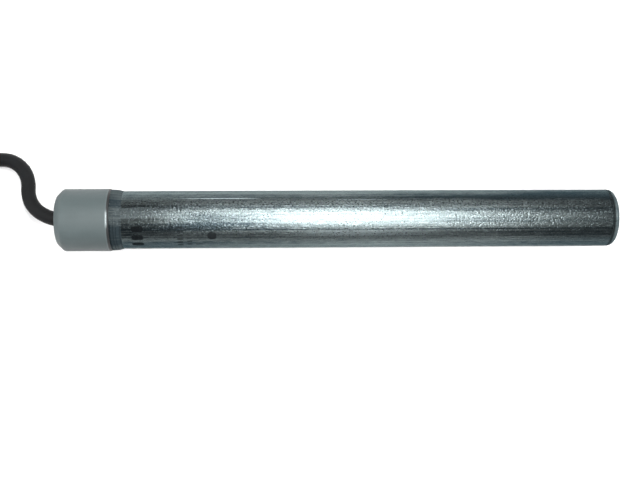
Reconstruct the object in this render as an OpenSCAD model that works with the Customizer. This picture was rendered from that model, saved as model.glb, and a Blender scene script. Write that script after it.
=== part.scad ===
// Submersible aquarium heater: a closed metal tube with a plastic head cap, a
// wire element inside, an over-temperature cut-out and an earthed mains lead.
// It lies along X on the plane z = 0, with the closed end of the tube at +X.

/* [Tube] */
// Length over all, from the head cap's end face to the closed end
heater_len = 243; // [200:1:320]
// Outside diameter of the tube
tube_od = 25; // [24:0.1:26.4]
// Wall of the tube
tube_wall = 0.7; // [0.5:0.05:1.2]
// How far the neck that goes into the head cap is drawn in, on the radius
neck_step = 1.2; // [1:0.1:1.7]
// Length of the neck inside the head cap
neck_len = 16; // [13:0.5:17]
// Length of the sloping shoulder between the neck and the tube, which the sealant covers
shoulder_len = 5; // [3:0.5:8]
// Length of the straight wall between the welded seam and the closed end's corner
seam_land = 0.5; // [0.4:0.1:5]
// Outside corner radius of the closed end
end_corner_r = 3; // [2:0.1:3.2]
// Thickness of the closed end
end_wall = 0.8; // [0.6:0.1:1.4]
// Length of the spigot that centres the end in the tube
spigot_len = 4; // [2:0.5:8]
// Width of the chamfers that meet at the welded seam
seam_chamfer = 0.25; // [0.1:0.05:0.4]

/* [Head cap] */
// How far the head cap stands out over the tube, on the radius
cap_step = 1; // [0.8:0.1:2.5]
// Length of the head cap
cap_len = 23.5; // [22:0.5:32]
// Thickness of the cap's end wall
cap_end_wall = 3; // [2.5:0.1:4]
// Chamfer round the cap's end face
cap_chamfer = 3; // [1:0.1:3]
// Small chamfer round the cap's rim
rim_chamfer = 0.3; // [0.1:0.05:0.5]
// Diameter of each seal ring's section
ring_d = 1.1; // [0.9:0.05:1.2]

/* [Lead] */
// Outside diameter of the mains lead
cord_d = 6.2; // [5.8:0.1:6.4]
// Length of the tapered cord gland inside the cap
gland_len = 21; // [18:0.5:21.4]
// Diameter of the gland's lip outside the cap
gland_lip_d = 10; // [9.4:0.1:12]
// How far the gland's lip stands out of the cap
gland_lip_len = 1.2; // [0.8:0.1:1.2]
// Diameter of one insulated conductor
core_d = 2.2; // [1.8:0.1:2.4]
// Length of the crimped clamp round the lead
clamp_len = 2; // [1.5:0.1:2.4]

/* [Terminals] */
// Thickness of the fibre barrier behind the neck
barrier_t = 2; // [1.5:0.1:3]
// Length of the mica board beyond the cut-out
board_tail = 4.9; // [4:0.1:16]
// Thickness of the mica board
board_t = 1.2; // [0.8:0.1:1.4]
// Clearance of the mica board in the tube, at each edge
board_gap = 1.8; // [1.7:0.1:3]
// Diameter of the crimp sleeves
sleeve_d = 3.9; // [3:0.1:4]
// Length of the crimp sleeves
sleeve_len = 10; // [7:0.5:11]
// Diameter of the thermal fuse
fuse_d = 4; // [3:0.1:4]
// Length of the thermal fuse
fuse_len = 11; // [9:0.5:12]
// Length of the earth tag
tag_len = 12; // [9:0.5:16]

/* [Cut-out] */
// Length of the cut-out's case
case_len = 18; // [17:0.5:19]
// Width of the cut-out's case
case_w = 9; // [8.6:0.1:9.2]
// Height of the cut-out's case, without its cover
case_h = 6.2; // [6:0.1:6.4]
// Wall of the case
case_wall = 1; // [0.8:0.05:1.1]
// Thickness of the case's cover
cover_t = 0.8; // [0.5:0.1:1]
// Length of the bimetal arm from its pivot to its tip
arm_len = 11; // [9.5:0.1:11.2]
// Thickness of the bimetal arm
arm_t = 0.4; // [0.3:0.05:0.5]
// Width of the bimetal arm
arm_w = 3.6; // [3:0.1:3.8]
// Diameter of the contacts
contact_d = 2.4; // [1.8:0.1:2.6]

/* [Element] */
// Thickness of the mineral powder packed round the element
mineral_t = 2.2; // [1.6:0.1:3]
// Thickness of the two ceramic discs
disc_t = 4; // [3:0.5:6]
// Diameter of the resistance wire
wire_d = 0.9; // [0.7:0.05:1]
// Turns of the resistance wire
wire_turns = 26; // [16:1:32]
// Wall of the mica sleeve
mica_wall = 0.4; // [0.3:0.05:0.6]
// Wall of the glass sleeve on the return wire
glass_wall = 1.2; // [0.8:0.1:1.4]
// Length of the fibre pad at the closed end
pad_len = 12; // [9:0.5:20]

/* [Plug] */
// Diameter of the plug's front
plug_d = 37; // [36:0.5:38]
// Height of the plug over its two flats
plug_flats = 33; // [31:0.5:34]
// Length of the plug's body
plug_len = 33; // [30:0.5:33]
// Diameter of the plug's pins
pin_d = 4.8; // [4:0.1:5]
// Free length of the plug's pins
pin_len = 19; // [17:0.5:20]
// Distance between the pins
pin_spacing = 19; // [18:0.5:20]
// Width of the earth clips
clip_w = 7; // [5:0.5:8]
// Length of the plug's bend relief
boot_len = 22; // [20:0.5:22]

/* [Put away] */
// Length of the hank's runs
hank_run = 120; // [110:1:124]
// Centreline radius of the hank's smaller folds
fold_r = 18.6; // [18.6:0.1:19.2]
// How much wider the folds spiral out
fold_growth = 1.2; // [0:0.1:1.4]
// Room between one layer of the hank and the next
layer_gap = 0.5; // [0.45:0.05:0.8]
// Width of the tie
tie_w = 10; // [6:1:14]
// Thickness of the tie
tie_t = 0.9; // [0.6:0.1:0.9]

/* [Hidden] */
$fn = 96;

// Clearances
seat = 0.02;      // between pieces that are glued, cast or seated in each other
slip = 0.15;      // between pieces that are pushed together
cord_fit = 0.05;  // round the lead in its gland and boot
pin_fit = 0.05;   // round the cut-out's pivot pin
cover_gap = 1.08; // between the cut-out's cover and the tube
line_gap = 0.3;   // between the return wire's sleeve and the cut-out's case
hole_gap = 0.9;   // round the conductors in the barrier's hole

// Tube radii and the overall places
tube_r = tube_od / 2;
bore_r = tube_r - tube_wall;
neck_r = tube_r - neck_step;
neck_bore_r = neck_r - tube_wall;
cap_r = tube_r + cap_step;
cord_r = cord_d / 2;
axis_z = cap_r;
cap_end_x = -heater_len / 2;

// Tube stations. A station is a distance along the axis from the cap's end face.
neck_start = cap_len - neck_len;
shoulder_end = cap_len + shoulder_len;
seam_at = heater_len - end_corner_r - seam_land;
end_inside = heater_len - end_wall;
end_bore_r = end_corner_r - end_wall;

// Head cap and seals
cap_bore_r = neck_r + slip;
cavity_r = neck_bore_r + 0.3;
ring_r = ring_d / 2;
ring_groove = 1.8;
ring_stations = [neck_start + 3.5, neck_start + 8.5];

// Gland and lead inside the cap
gland_bore_r = cord_r + cord_fit;
gland_neck_r = gland_bore_r + 1.2;
gland_flange_r = gland_bore_r + 3.4;
gland_flange_t = 2;
gland_mouth_r = gland_bore_r + 0.8;
gland_mouth_len = 2;
gland_thin_r = gland_bore_r + 0.8;
potting_end = gland_len - 1;
jacket_end = gland_len + clamp_len;
clamp_r = gland_bore_r + 1.5;

// Barrier, board and wiring
barrier_at = shoulder_end + tube_wall;
board_at = barrier_at + barrier_t;
board_half_w = bore_r - board_gap;
case_y = 1;                               // how far the cut-out lies off the middle
board_top = sqrt(pow(bore_r - cover_gap, 2) - pow(case_y + case_w / 2, 2)) - case_h - cover_t;
line_z = board_top + max(fuse_d, sleeve_d) / 2 + seat;      // height of the wiring over the board
glass_r = wire_d / 2 + slip + glass_wall;
line_y = case_w / 2 - case_y + glass_r + line_gap;          // how far the wiring lies to each side
core_pitch = core_d * 0.66;
core_spread = core_pitch * 0.87;
core_rise = board_top + core_d / 2 + line_gap;
barrier_hole_r = norm([core_spread + 1.4, core_rise]) + core_d / 2 + hole_gap;
sleeve_at = board_at + 5.4;
sleeve_end = sleeve_at + sleeve_len;
lead_r = 0.5;
fuse_at = sleeve_end + 3.5;
fuse_end = fuse_at + fuse_len;
tag_at = sleeve_at + 7;
tag_t = 0.8;
tag_barrel_r = 1.7;
tag_barrel_z = -(bore_r - tag_t - tag_barrel_r + 0.2);

// Cut-out
case_at = fuse_end + 3.2;
case_end = case_at + case_len;
board_end = case_end + board_tail;
case_floor = 1.2;
strip_t = 0.5;
strip_w = 3;
strip_reach = 2.4;
strip_gap = 0.05;
strip_z = board_top + case_floor;
contact_t = 0.6;
contact_gap = 0.04;
arm_z = strip_z + strip_t + 2 * contact_t + contact_gap;
pivot_z = arm_z + arm_t / 2;
pivot_station = case_end - case_wall - 2.4;
contact_station = pivot_station - arm_len + contact_d / 2;
pivot_pin_r = 0.5;
eye_r = 1;
ear_t = 0.6;
ear_gap = 0.1;

// Element, from the powder inwards
wire_r = wire_d / 2;
mica_r = bore_r - mineral_t;
mica_bore_r = mica_r - mica_wall;
coil_r = mica_bore_r - 0.2 - wire_r;
core_r = coil_r - wire_r - 0.3;
disc_r = bore_r - 0.2;
core_at = board_end + disc_t;
pad_at = end_inside - pad_len;
core_end = pad_at - disc_t;
coil_start_angle = 90;
coil_end_angle = 144;
coil_margin = 2;
rings_a_turn = 12;
return_r = wire_r + 0.75;
return_at = polar(core_r - 2.36, coil_end_angle);
return_turn = 1.4;
pad_pocket_r = 3.2;
pad_pocket_depth = 3;

// The lead's route outside the cap: [outwards, sideways, up] from the exit
cord_route = [
    [-jacket_end, 0, 0], [-12, 0, 0], [-2, 0, 0], [2.3, 0.8, 0], [5.1, 1.8, -0.1],
    [9, 4.1, -0.7], [11.9, 7.6, -1.7], [13.4, 11.8, -3], [13.7, 16.3, -4.5],
    [15.3, 20.6, -6.1], [18.2, 24, -7.6], [22.2, 26.3, -8.9], [26.6, 27, -9.8],
    [32, 27, -10.4], [38, 27, -10.4], [44, 27, -10.4], [49.3, 27, -10.4]
];
// The lead's route from the hank to the plug's boot, from the hank's end
tail_route = [
    [0, 0, 0], [3, 0, 0], [7, -0.6, 0], [11, -2.2, 0], [15, -4.4, 0], [20, -7, -0.7],
    [25, -9.7, -2.1], [30, -12.3, -3.7], [35, -14.4, -5.3], [40, -15.7, -6.4],
    [43.8, -16, -6.7]
];
cord_sides = 10;
route_end = cord_route[len(cord_route) - 1];
tail_end = tail_route[len(tail_route) - 1];

// Hank
run_steps = 5;
fold_steps = 7;
loop_steps = 2 * (run_steps + fold_steps);
full_loops = 3;
hank_sides = 6;
waist_share = 0.4;                        // share of a run that each bend into the waist takes
layer_h = cord_d + layer_gap;
hank_right = cap_end_x - route_end[0] - cord_d;
hank_left = hank_right - hank_run;
hank_y = route_end[1] - fold_r - fold_growth;
waist_draw = fold_r - cord_r - 0.3;
waist_lift = tie_t + 0.1;
fold_droop = 3;
tie_fit = 0.2;

// Plug
plug_fit = 0.02;
plug_r = plug_d / 2;
pin_r = pin_d / 2;
pin_root_r = pin_r + 0.4;
pin_depth = 10;
boot_start_r = 8.6;
boot_thin_r = cord_r + 1.6;
boot_ribs = 4;
clip_t = 0.6;
clip_reach = 16;
clip_groove = 2.6;

function unit(v) = v / norm(v);
function smooth(f) = f * f * (3 - 2 * f);
function polar(r, angle) = [r * cos(angle), r * sin(angle)];

// Directions along a line of points: at a bend, the one between its two sides
function headings(p) = [
    for (i = [0 : len(p) - 1])
        let (
            into = unit(p[max(i, 1)] - p[max(i, 1) - 1]),
            out = unit(p[min(i + 1, len(p) - 1)] - p[min(i, len(p) - 2)])
        )
        unit(into + out)
];

// A round bar swept along a line of points. One corner of each ring lies along up.
module swept(p, r, sides, up) {
    t = headings(p);
    last = len(p) - 1;
    corners = [
        for (i = [0 : last])
            let (side = unit(cross(t[i], up)), lift = cross(side, t[i]))
            for (k = [0 : sides - 1])
                p[i] + r * (cos(90 + 360 * k / sides) * side + sin(90 + 360 * k / sides) * lift)
    ];
    walls = [
        for (i = [0 : last - 1])
            for (k = [0 : sides - 1])
                let (a = i * sides + k, b = i * sides + (k + 1) % sides)
                for (face = [[a, b, b + sides], [a, b + sides, a + sides]]) face
    ];
    first_end = [for (k = [1 : sides - 2]) [0, k + 1, k]];
    last_end = [for (k = [1 : sides - 2]) [last * sides, last * sides + k, last * sides + k + 1]];
    polyhedron(corners, concat(walls, first_end, last_end));
}

// Places children at a station on the heater's axis
module at(station) translate([cap_end_x + station, 0, axis_z]) children();

// A body of revolution on the heater's axis, from a profile of [station, radius]
module turned(profile) at(0) rotate([0, 90, 0])
    rotate_extrude() polygon([for (p = profile) [p[1], p[0]]]);

// A round bar along the axis direction at [y, z] off the axis
module bar(station, length, r, y = 0, z = 0) at(station)
    translate([0, y, z]) rotate([0, 90, 0]) cylinder(r = r, h = length);

// A wire bent along points of [station, y, z]
module wire(p, r) at(0) swept(p, r, 8, [0, 0.02, 1]);

function tube_outside() = [
    [neck_start, neck_r], [cap_len, neck_r], [shoulder_end, tube_r],
    [seam_at - seam_chamfer, tube_r], [seam_at, tube_r - seam_chamfer]
];
function tube_inside() = [
    [seam_at, bore_r], [shoulder_end + 0.3, bore_r], [cap_len + 0.3, neck_bore_r],
    [neck_start, neck_bore_r]
];

module sheath_tube() color([0.62, 0.65, 0.66]) turned(concat(tube_outside(), tube_inside()));

module sheath_end_cap() color([0.66, 0.69, 0.70]) {
    corner = [for (a = [0 : 10 : 90]) [heater_len - end_corner_r, tube_r - end_corner_r]
        + end_corner_r * [sin(a), cos(a)]];
    inner_corner = [for (a = [90 : -15 : 0]) [heater_len - end_corner_r, bore_r - end_bore_r]
        + end_bore_r * [sin(a), cos(a)]];
    turned(concat(
        [[seam_at, bore_r - seat], [seam_at, tube_r - seam_chamfer], [seam_at + seam_chamfer, tube_r]],
        corner,
        [[heater_len, 0], [end_inside, 0]],
        inner_corner,
        [[seam_at + 0.8 * seam_land, bore_r - tube_wall], [seam_at - spigot_len, bore_r - tube_wall],
         [seam_at - spigot_len, bore_r - seat]]
    ));
}

module head_cap() color([0.48, 0.52, 0.53]) difference() {
    turned([
        [0, gland_neck_r + seat], [0, cap_r - cap_chamfer], [cap_chamfer, cap_r],
        [cap_len - rim_chamfer, cap_r], [cap_len, cap_r - rim_chamfer],
        [cap_len, cap_bore_r], [neck_start, cap_bore_r],
        [neck_start, cavity_r], [cap_end_wall, cavity_r], [cap_end_wall, gland_neck_r + seat]
    ]);
    for (station = ring_stations)
        turned([
            [station - ring_groove / 2, neck_r], [station + ring_groove / 2, neck_r],
            [station + ring_groove / 2, neck_r + ring_d + seat],
            [station - ring_groove / 2, neck_r + ring_d + seat]
        ]);
}

module neck_seal_rings() color([0.12, 0.12, 0.12]) {
    for (station = ring_stations)
        at(station) rotate([0, 90, 0])
            rotate_extrude() translate([neck_r + ring_r + seat / 2, 0])
                circle(r = ring_r - seat / 2, $fn = 32);
}

module sealant_bead() color([0.30, 0.30, 0.28])
    turned([
        [cap_len + seat, neck_r + 2 * seat], [cap_len + seat, cap_r - rim_chamfer],
        [cap_len + shoulder_len / 2, (cap_r + tube_r) / 2 + 0.1],
        [shoulder_end, tube_r + 0.08], [shoulder_end, tube_r + seat]
    ]);

module cord_gland() color([0.10, 0.10, 0.11])
    turned([
        [-gland_lip_len, gland_mouth_r], [-gland_lip_len, gland_lip_d / 2 - 0.4],
        [-gland_lip_len + 0.4, gland_lip_d / 2], [-seat, gland_lip_d / 2], [-seat, gland_neck_r],
        [cap_end_wall + seat, gland_neck_r], [cap_end_wall + seat, gland_flange_r],
        [cap_end_wall + gland_flange_t, gland_flange_r],
        [cap_end_wall + gland_flange_t, gland_flange_r - 1.2], [gland_len, gland_thin_r],
        [gland_len, gland_bore_r], [gland_mouth_len, gland_bore_r]
    ]);

module potting() color([0.20, 0.19, 0.17]) {
    flange_end = cap_end_wall + gland_flange_t;
    slope = (gland_flange_r - 1.2 - gland_thin_r) / (gland_len - flange_end);
    turned([
        [flange_end + seat, gland_flange_r - 1.2 + seat], [flange_end + seat, cavity_r - seat],
        [neck_start - seat, cavity_r - seat], [neck_start - seat, neck_bore_r - seat],
        [potting_end, neck_bore_r - seat],
        [potting_end, gland_thin_r + slope * (gland_len - potting_end) + seat]
    ]);
}

module cord_clamp() color([0.75, 0.75, 0.73])
    turned([
        [gland_len, gland_bore_r], [gland_len, clamp_r], [jacket_end, clamp_r],
        [jacket_end, gland_bore_r]
    ]);

// A conductor from the end of the jacket to a crimp sleeve on the board
module board_core(side) wire([
    [jacket_end, side * core_spread, core_pitch / 2],
    [jacket_end + 0.8, side * core_spread, core_pitch / 2],
    [barrier_at, side * (core_spread + 0.6), (core_pitch / 2 + 2 * core_rise) / 3],
    [board_at, side * (core_spread + 1.4), core_rise],
    [board_at + 2.6, side * (line_y - 0.9), line_z],
    [sleeve_at - 0.6, side * line_y, line_z],
    [sleeve_at, side * line_y, line_z]
], core_d / 2);

module core_live() color([0.42, 0.24, 0.14]) board_core(1);
module core_neutral() color([0.16, 0.32, 0.66]) board_core(-1);

module core_earth() color([0.45, 0.62, 0.16]) wire([
    [jacket_end, 0, -core_pitch], [jacket_end + 0.8, 0, -core_pitch],
    [barrier_at, 0, -core_pitch - 0.6], [board_at + 2, 0, -core_pitch - 1.6],
    [board_at + 7, 0, (tag_barrel_z - core_pitch) / 2 - 1],
    [tag_at - 2.4, 0, tag_barrel_z + 0.4], [tag_at - 0.8, 0, tag_barrel_z], [tag_at, 0, tag_barrel_z]
], core_d / 2);

module barrier_disc() color([0.72, 0.58, 0.42])
    turned([
        [barrier_at, barrier_hole_r], [barrier_at, bore_r - 0.1], [board_at, bore_r - 0.1],
        [board_at, barrier_hole_r]
    ]);

module mica_board() color([0.70, 0.62, 0.45]) at(board_at)
    translate([0, -board_half_w, board_top - board_t])
        cube([board_end - board_at, 2 * board_half_w, board_t]);

module crimp_sleeves() color([0.80, 0.80, 0.78])
    for (side = [1, -1])
        bar(sleeve_at, sleeve_len, sleeve_d / 2, side * line_y, line_z);

module earth_tag() color([0.72, 0.66, 0.38]) {
    at(tag_at) rotate([0, 90, 0])
        rotate([0, 0, -20]) rotate_extrude(angle = 40)
            translate([bore_r - tag_t - seat, 0]) square([tag_t, tag_len]);
    bar(tag_at, tag_len * 0.6, tag_barrel_r, 0, tag_barrel_z);
}

module thermal_fuse() color([0.86, 0.86, 0.84]) bar(fuse_at, fuse_len, fuse_d / 2, line_y, line_z);

module fuse_leads() color([0.78, 0.78, 0.80]) {
    strip_top = strip_z + strip_t + lead_r + seat;
    bar(sleeve_end, fuse_at - sleeve_end, lead_r, line_y, line_z);
    wire([
        [fuse_end, line_y, line_z], [fuse_end + 0.5, line_y, line_z],
        [fuse_end + 1.2, line_y - 0.5, line_z], [fuse_end + 1.8, line_y - 2, strip_top],
        [fuse_end + 2.2, case_y + strip_w / 2 - 0.4, strip_top], [fuse_end + 2.3, case_y, strip_top]
    ], lead_r);
}

// A strip that lies on the case's floor and reaches out through one end wall
module strip(from, to) at(from)
    translate([0, case_y - strip_w / 2, strip_z]) cube([to - from, strip_w, strip_t]);

module cutout_case() color([0.85, 0.82, 0.76]) difference() {
    at(case_at) translate([0, case_y - case_w / 2, board_top]) cube([case_len, case_w, case_h]);
    at(case_at + case_wall) translate([0, case_y - case_w / 2 + case_wall, strip_z])
        cube([case_len - 2 * case_wall, case_w - 2 * case_wall, case_h]);
    at(case_at - 1) translate([0, case_y - strip_w / 2 - strip_gap, strip_z])
        cube([case_len + 2, strip_w + 2 * strip_gap, strip_t + strip_gap]);
}

module cutout_cover() color([0.75, 0.71, 0.64]) at(case_at)
    translate([0, case_y - case_w / 2, board_top + case_h]) cube([case_len, case_w, cover_t]);

module contact_terminal() color([0.80, 0.68, 0.40])
    strip(case_at - strip_reach, contact_station + contact_d / 2 + 0.4);

module fixed_contact() color([0.88, 0.88, 0.86]) at(contact_station)
    translate([0, case_y, strip_z + strip_t]) cylinder(d = contact_d, h = contact_t, $fn = 48);

module pivot_terminal() color([0.80, 0.68, 0.40]) difference() {
    union() {
        strip(pivot_station - 1.6, case_end + strip_reach);
        for (side = [-1, 1])
            at(pivot_station - 1) translate([
                0, case_y + side * (arm_w / 2 + ear_gap + ear_t / 2) - ear_t / 2, strip_z
            ]) cube([2, ear_t, pivot_z - strip_z + 0.9]);
        at(pivot_station - 1) translate([0, case_y - arm_w / 2 - ear_gap - ear_t, strip_z])
            cube([2, arm_w + 2 * (ear_gap + ear_t), strip_t]);
    }
    at(pivot_station) translate([0, case_y, pivot_z]) rotate([90, 0, 0])
        cylinder(r = pivot_pin_r, h = case_w, center = true, $fn = 48);
}

module pivot_pin() color([0.70, 0.70, 0.72]) at(pivot_station)
    translate([0, case_y, pivot_z]) rotate([90, 0, 0])
        cylinder(r = pivot_pin_r - seat / 2, h = arm_w + 2 * (ear_gap + ear_t), center = true, $fn = 48);

module bimetal_arm() color([0.74, 0.62, 0.46]) at(pivot_station) difference() {
    translate([0, case_y, 0]) union() {
        translate([-arm_len, -arm_w / 2, arm_z]) cube([arm_len, arm_w, arm_t]);
        translate([0, 0, pivot_z]) rotate([90, 0, 0])
            cylinder(r = eye_r, h = arm_w, center = true, $fn = 48);
    }
    translate([0, case_y, pivot_z]) rotate([90, 0, 0])
        cylinder(r = pivot_pin_r + pin_fit, h = case_w, center = true, $fn = 48);
}

module moving_contact() color([0.88, 0.88, 0.86]) at(contact_station)
    translate([0, case_y, arm_z - contact_t]) cylinder(d = contact_d, h = contact_t, $fn = 48);

module element_lead() color([0.66, 0.66, 0.68]) {
    strip_top = strip_z + strip_t + lead_r + seat;
    wire([
        [case_end + 0.6, case_y, strip_top], [case_end + 1.6, case_y, strip_top + 0.3],
        [case_end + strip_reach + 0.4, case_y * 0.5, (strip_top + coil_r) / 2],
        [board_end - 1, 0, coil_r - 0.2], [board_end, 0, coil_r],
        [core_at + coil_margin - lead_r, 0, coil_r]
    ], wire_r);
}

module return_lead() color([0.66, 0.66, 0.68]) {
    end = polar(coil_r, coil_end_angle);
    wire([
        [sleeve_end, -line_y, line_z], [board_end - 6, -line_y, line_z],
        [board_end - 1.5, return_at[0] - 0.2, return_at[1] + 0.1],
        [board_end, return_at[0], return_at[1]], [pad_at, return_at[0], return_at[1]],
        [pad_at + 0.8, return_at[0] - 0.3, return_at[1] + 0.2],
        [pad_at + return_turn, (return_at[0] + end[0]) / 2, (return_at[1] + end[1]) / 2],
        [pad_at + 0.8, end[0] + 0.3, end[1] - 0.2], [pad_at, end[0], end[1]],
        [core_end - coil_margin + lead_r, end[0], end[1]]
    ], wire_r);
}

module glass_sleeve() color([0.90, 0.88, 0.82]) difference() {
    bar(sleeve_end + 1, board_end - 7 - sleeve_end - 1, glass_r, -line_y, line_z);
    bar(sleeve_end, board_end - sleeve_end, wire_r + slip, -line_y, line_z);
}

module upper_disc() color([0.90, 0.88, 0.84]) difference() {
    bar(board_end, disc_t, disc_r);
    bar(board_end - 1, disc_t + 2, wire_r + 0.25, 0, coil_r);
    bar(board_end - 1, disc_t + 2, return_r, return_at[0], return_at[1]);
}

module ceramic_core() color([0.93, 0.91, 0.87]) difference() {
    bar(core_at, core_end - core_at, core_r);
    bar(core_at - 1, core_end - core_at + 2, return_r, return_at[0], return_at[1]);
}

module heating_wire() color([0.55, 0.53, 0.50]) {
    first = core_at + coil_margin;
    span = core_end - coil_margin - first;
    sweep = 360 * wire_turns + coil_end_angle - coil_start_angle;
    steps = ceil(sweep * rings_a_turn / 360);
    at(0) swept([
        for (i = [0 : steps])
            let (yz = polar(coil_r, coil_start_angle + sweep * i / steps))
            [first + span * i / steps, yz[0], yz[1]]
    ], wire_r, 5, [1, 0, 0]);
}

module mica_sleeve() color([0.66, 0.56, 0.38])
    turned([
        [core_at, mica_bore_r], [core_at, mica_r], [core_end, mica_r], [core_end, mica_bore_r]
    ]);

module mineral_fill() color([0.78, 0.74, 0.66])
    turned([
        [core_at, mica_r + seat], [core_at, bore_r - seat], [core_end, bore_r - seat],
        [core_end, mica_r + seat]
    ]);

module lower_disc() color([0.90, 0.88, 0.84]) difference() {
    end = polar(coil_r, coil_end_angle);
    bar(core_end, disc_t, disc_r);
    bar(core_end - 1, disc_t + 2, return_r, return_at[0], return_at[1]);
    bar(core_end - 1, disc_t + 2, wire_r + 0.25, end[0], end[1]);
}

module fibre_pad() color([0.92, 0.91, 0.88]) difference() {
    end = polar(coil_r, coil_end_angle);
    pad_r = bore_r - tube_wall - 0.2;
    turned([
        [pad_at, 0], [pad_at, pad_r], [heater_len - end_corner_r - 0.2, pad_r],
        [end_inside - 0.1, pad_r - end_bore_r + 0.3], [end_inside - 0.1, 0]
    ]);
    bar(
        pad_at - 1, pad_pocket_depth + 1, pad_pocket_r,
        (return_at[0] + end[0]) / 2, (return_at[1] + end[1]) / 2
    );
}

// The route sinks from the axis to the surface that the heater lies on
function cord_points() = [
    for (p = cord_route) [cap_end_x - p[0], p[1], axis_z - (axis_z - cord_r) * p[2] / route_end[2]]
];

module cord_run() color([0.13, 0.13, 0.14]) swept(cord_points(), cord_r, cord_sides, [0, 0, 1]);

// The hank: loops piled in layers. Each climbs a layer along its second run, and the
// loops spiral in and out again by fold_growth from one turn to the next.
function fold_at(turns) = fold_r + fold_growth * abs(1 - (turns % 2));
function waist(f) = smooth(min(1, min(f, 1 - f) / waist_share));
function hank_point(i) =
    let (
        turn = floor(i / loop_steps),
        step = i - turn * loop_steps,
        r = fold_at(i / loop_steps),
        floor_z = cord_r + layer_h * turn,
        half = run_steps + fold_steps,
        on_run = step < run_steps || (step >= half && step < half + run_steps),
        back = step >= half,
        f = (step - (back ? half : 0)) / run_steps,
        angle = 180 * (step - (back ? half : 0) - run_steps) / fold_steps
    )
    on_run && !back ? [
        hank_right - f * hank_run, hank_y + r - waist_draw * waist(f), floor_z + waist_lift * waist(f)
    ] :
    !back ? [hank_left - r * sin(angle), hank_y + r * cos(angle), floor_z] :
    on_run ? [
        hank_left + f * hank_run, hank_y - r + waist_draw * waist(f),
        floor_z + layer_h * smooth(f) + waist_lift * waist(f)
    ] :
    [
        hank_right + r * sin(angle), hank_y - r * cos(angle),
        floor_z + layer_h - fold_droop * pow(sin(angle), 2)
    ];

hank_steps = full_loops * loop_steps + run_steps;
hank_line = [for (i = [0 : hank_steps]) hank_point(i)];
hank_end = [hank_left - cord_d, hank_line[hank_steps][1], hank_line[hank_steps][2]];

// The hank's least distance from itself, on points at quarter steps
fine_line = [for (i = [0 : 0.25 : hank_steps]) hank_point(i)];
apart = 8 * 4;
least_gap = min([
    for (i = [0 : len(fine_line) - 1 - apart])
        min([for (j = [i + apart : len(fine_line) - 1]) norm(fine_line[i] - fine_line[j])])
]) - cord_d;
echo(str("least gap of the hank to itself, mm: ", least_gap));

module cord_hank() color([0.13, 0.13, 0.14])
    swept(concat(
        [[hank_right + cord_d, hank_line[0][1], hank_line[0][2]]], hank_line, [hank_end]
    ), cord_r, hank_sides, [0, 0, 1]);

// The tail sinks from the hank's top layer to the plug's axis, and is straight in the boot
plug_axis = [hank_end[0] - tail_end[0] - boot_len - plug_len, hank_end[1] + tail_end[1], plug_flats / 2];
function tail_points() = [
    for (p = tail_route)
        [hank_end[0] - p[0], hank_end[1] + p[1],
         hank_end[2] - (hank_end[2] - plug_axis[2]) * p[2] / tail_end[2]],
    for (f = [0.5, 1]) [hank_end[0] - tail_end[0] - f * boot_len, plug_axis[1], plug_axis[2]]
];

module cord_tail() color([0.13, 0.13, 0.14]) swept(tail_points(), cord_r, cord_sides, [0, 0, 1]);

module hank_tie() color([0.16, 0.16, 0.17]) {
    half_w = fold_r + fold_growth - waist_draw + cord_r + tie_fit;
    top = cord_d + full_loops * layer_h + waist_lift + tie_fit;
    middle = (hank_right + hank_left) / 2;
    translate([middle + tie_w / 2, hank_y, 0]) rotate([0, -90, 0]) linear_extrude(tie_w)
        difference() {
            translate([0, -half_w - tie_t]) square([top + tie_t, 2 * (half_w + tie_t)]);
            translate([tie_t, -half_w]) square([top - tie_t, 2 * half_w]);
        }
}

// Places children on the plug's axis: x runs from its front face towards the lead
module at_plug() translate(plug_axis) children();

module plug_turned(profile) at_plug() rotate([0, 90, 0])
    rotate_extrude() polygon([for (p = profile) [p[1], p[0]]]);

module plug_body() color([0.12, 0.12, 0.13]) difference() {
    intersection() {
        plug_turned([
            [0, 0], [0, plug_r - 1], [1, plug_r], [plug_len * 0.4, plug_r],
            [plug_len * 0.5, plug_r - 1.6], [plug_len * 0.72, boot_start_r + 3.4],
            [plug_len * 0.9, boot_start_r + 0.8], [plug_len, boot_start_r], [plug_len, 0]
        ]);
        at_plug() translate([-1, -plug_r, -plug_flats / 2]) cube([plug_len + 2, plug_d, plug_flats]);
    }
    for (side = [-1, 1]) {
        at_plug() translate([-1, side * pin_spacing / 2, 0]) rotate([0, 90, 0])
            cylinder(r = pin_root_r + plug_fit, h = pin_depth + 1);
        at_plug() translate([-1, 0, side * (plug_flats / 2 + (1 - clip_groove) / 2)])
            translate([0, -clip_w / 2 - 0.5, -(clip_groove + 1) / 2])
            cube([clip_reach + 2, clip_w + 1, clip_groove + 1]);
    }
}

module plug_pins() color([0.78, 0.79, 0.80])
    for (side = [-1, 1])
        at_plug() translate([-pin_len, side * pin_spacing / 2, 0]) rotate([0, 90, 0])
            rotate_extrude() polygon([
                [0, 0], [pin_r * 0.5, 0], [pin_r, 1.6], [pin_r, pin_len],
                [pin_root_r, pin_len], [pin_root_r, pin_len + pin_depth], [0, pin_len + pin_depth]
            ]);

// One sprung earth strip, bowed outwards in its groove
module plug_earth_clips() color([0.80, 0.80, 0.78])
    for (side = [0, 180]) {
        floor_z = plug_flats / 2 - clip_groove + plug_fit;
        crown = clip_groove - clip_t - 0.3;
        at_plug() rotate([side, 0, 0]) translate([0, clip_w / 2, 0]) rotate([90, 0, 0])
            linear_extrude(clip_w) polygon([
                [0.6, floor_z], [3, floor_z], [7, floor_z + crown], [10, floor_z + crown],
                [13.5, floor_z], [clip_reach, floor_z], [clip_reach, floor_z + clip_t],
                [14, floor_z + clip_t], [10.4, floor_z + crown + clip_t],
                [6.6, floor_z + crown + clip_t], [2.6, floor_z + clip_t], [0.6, floor_z + clip_t]
            ]);
    }

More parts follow.
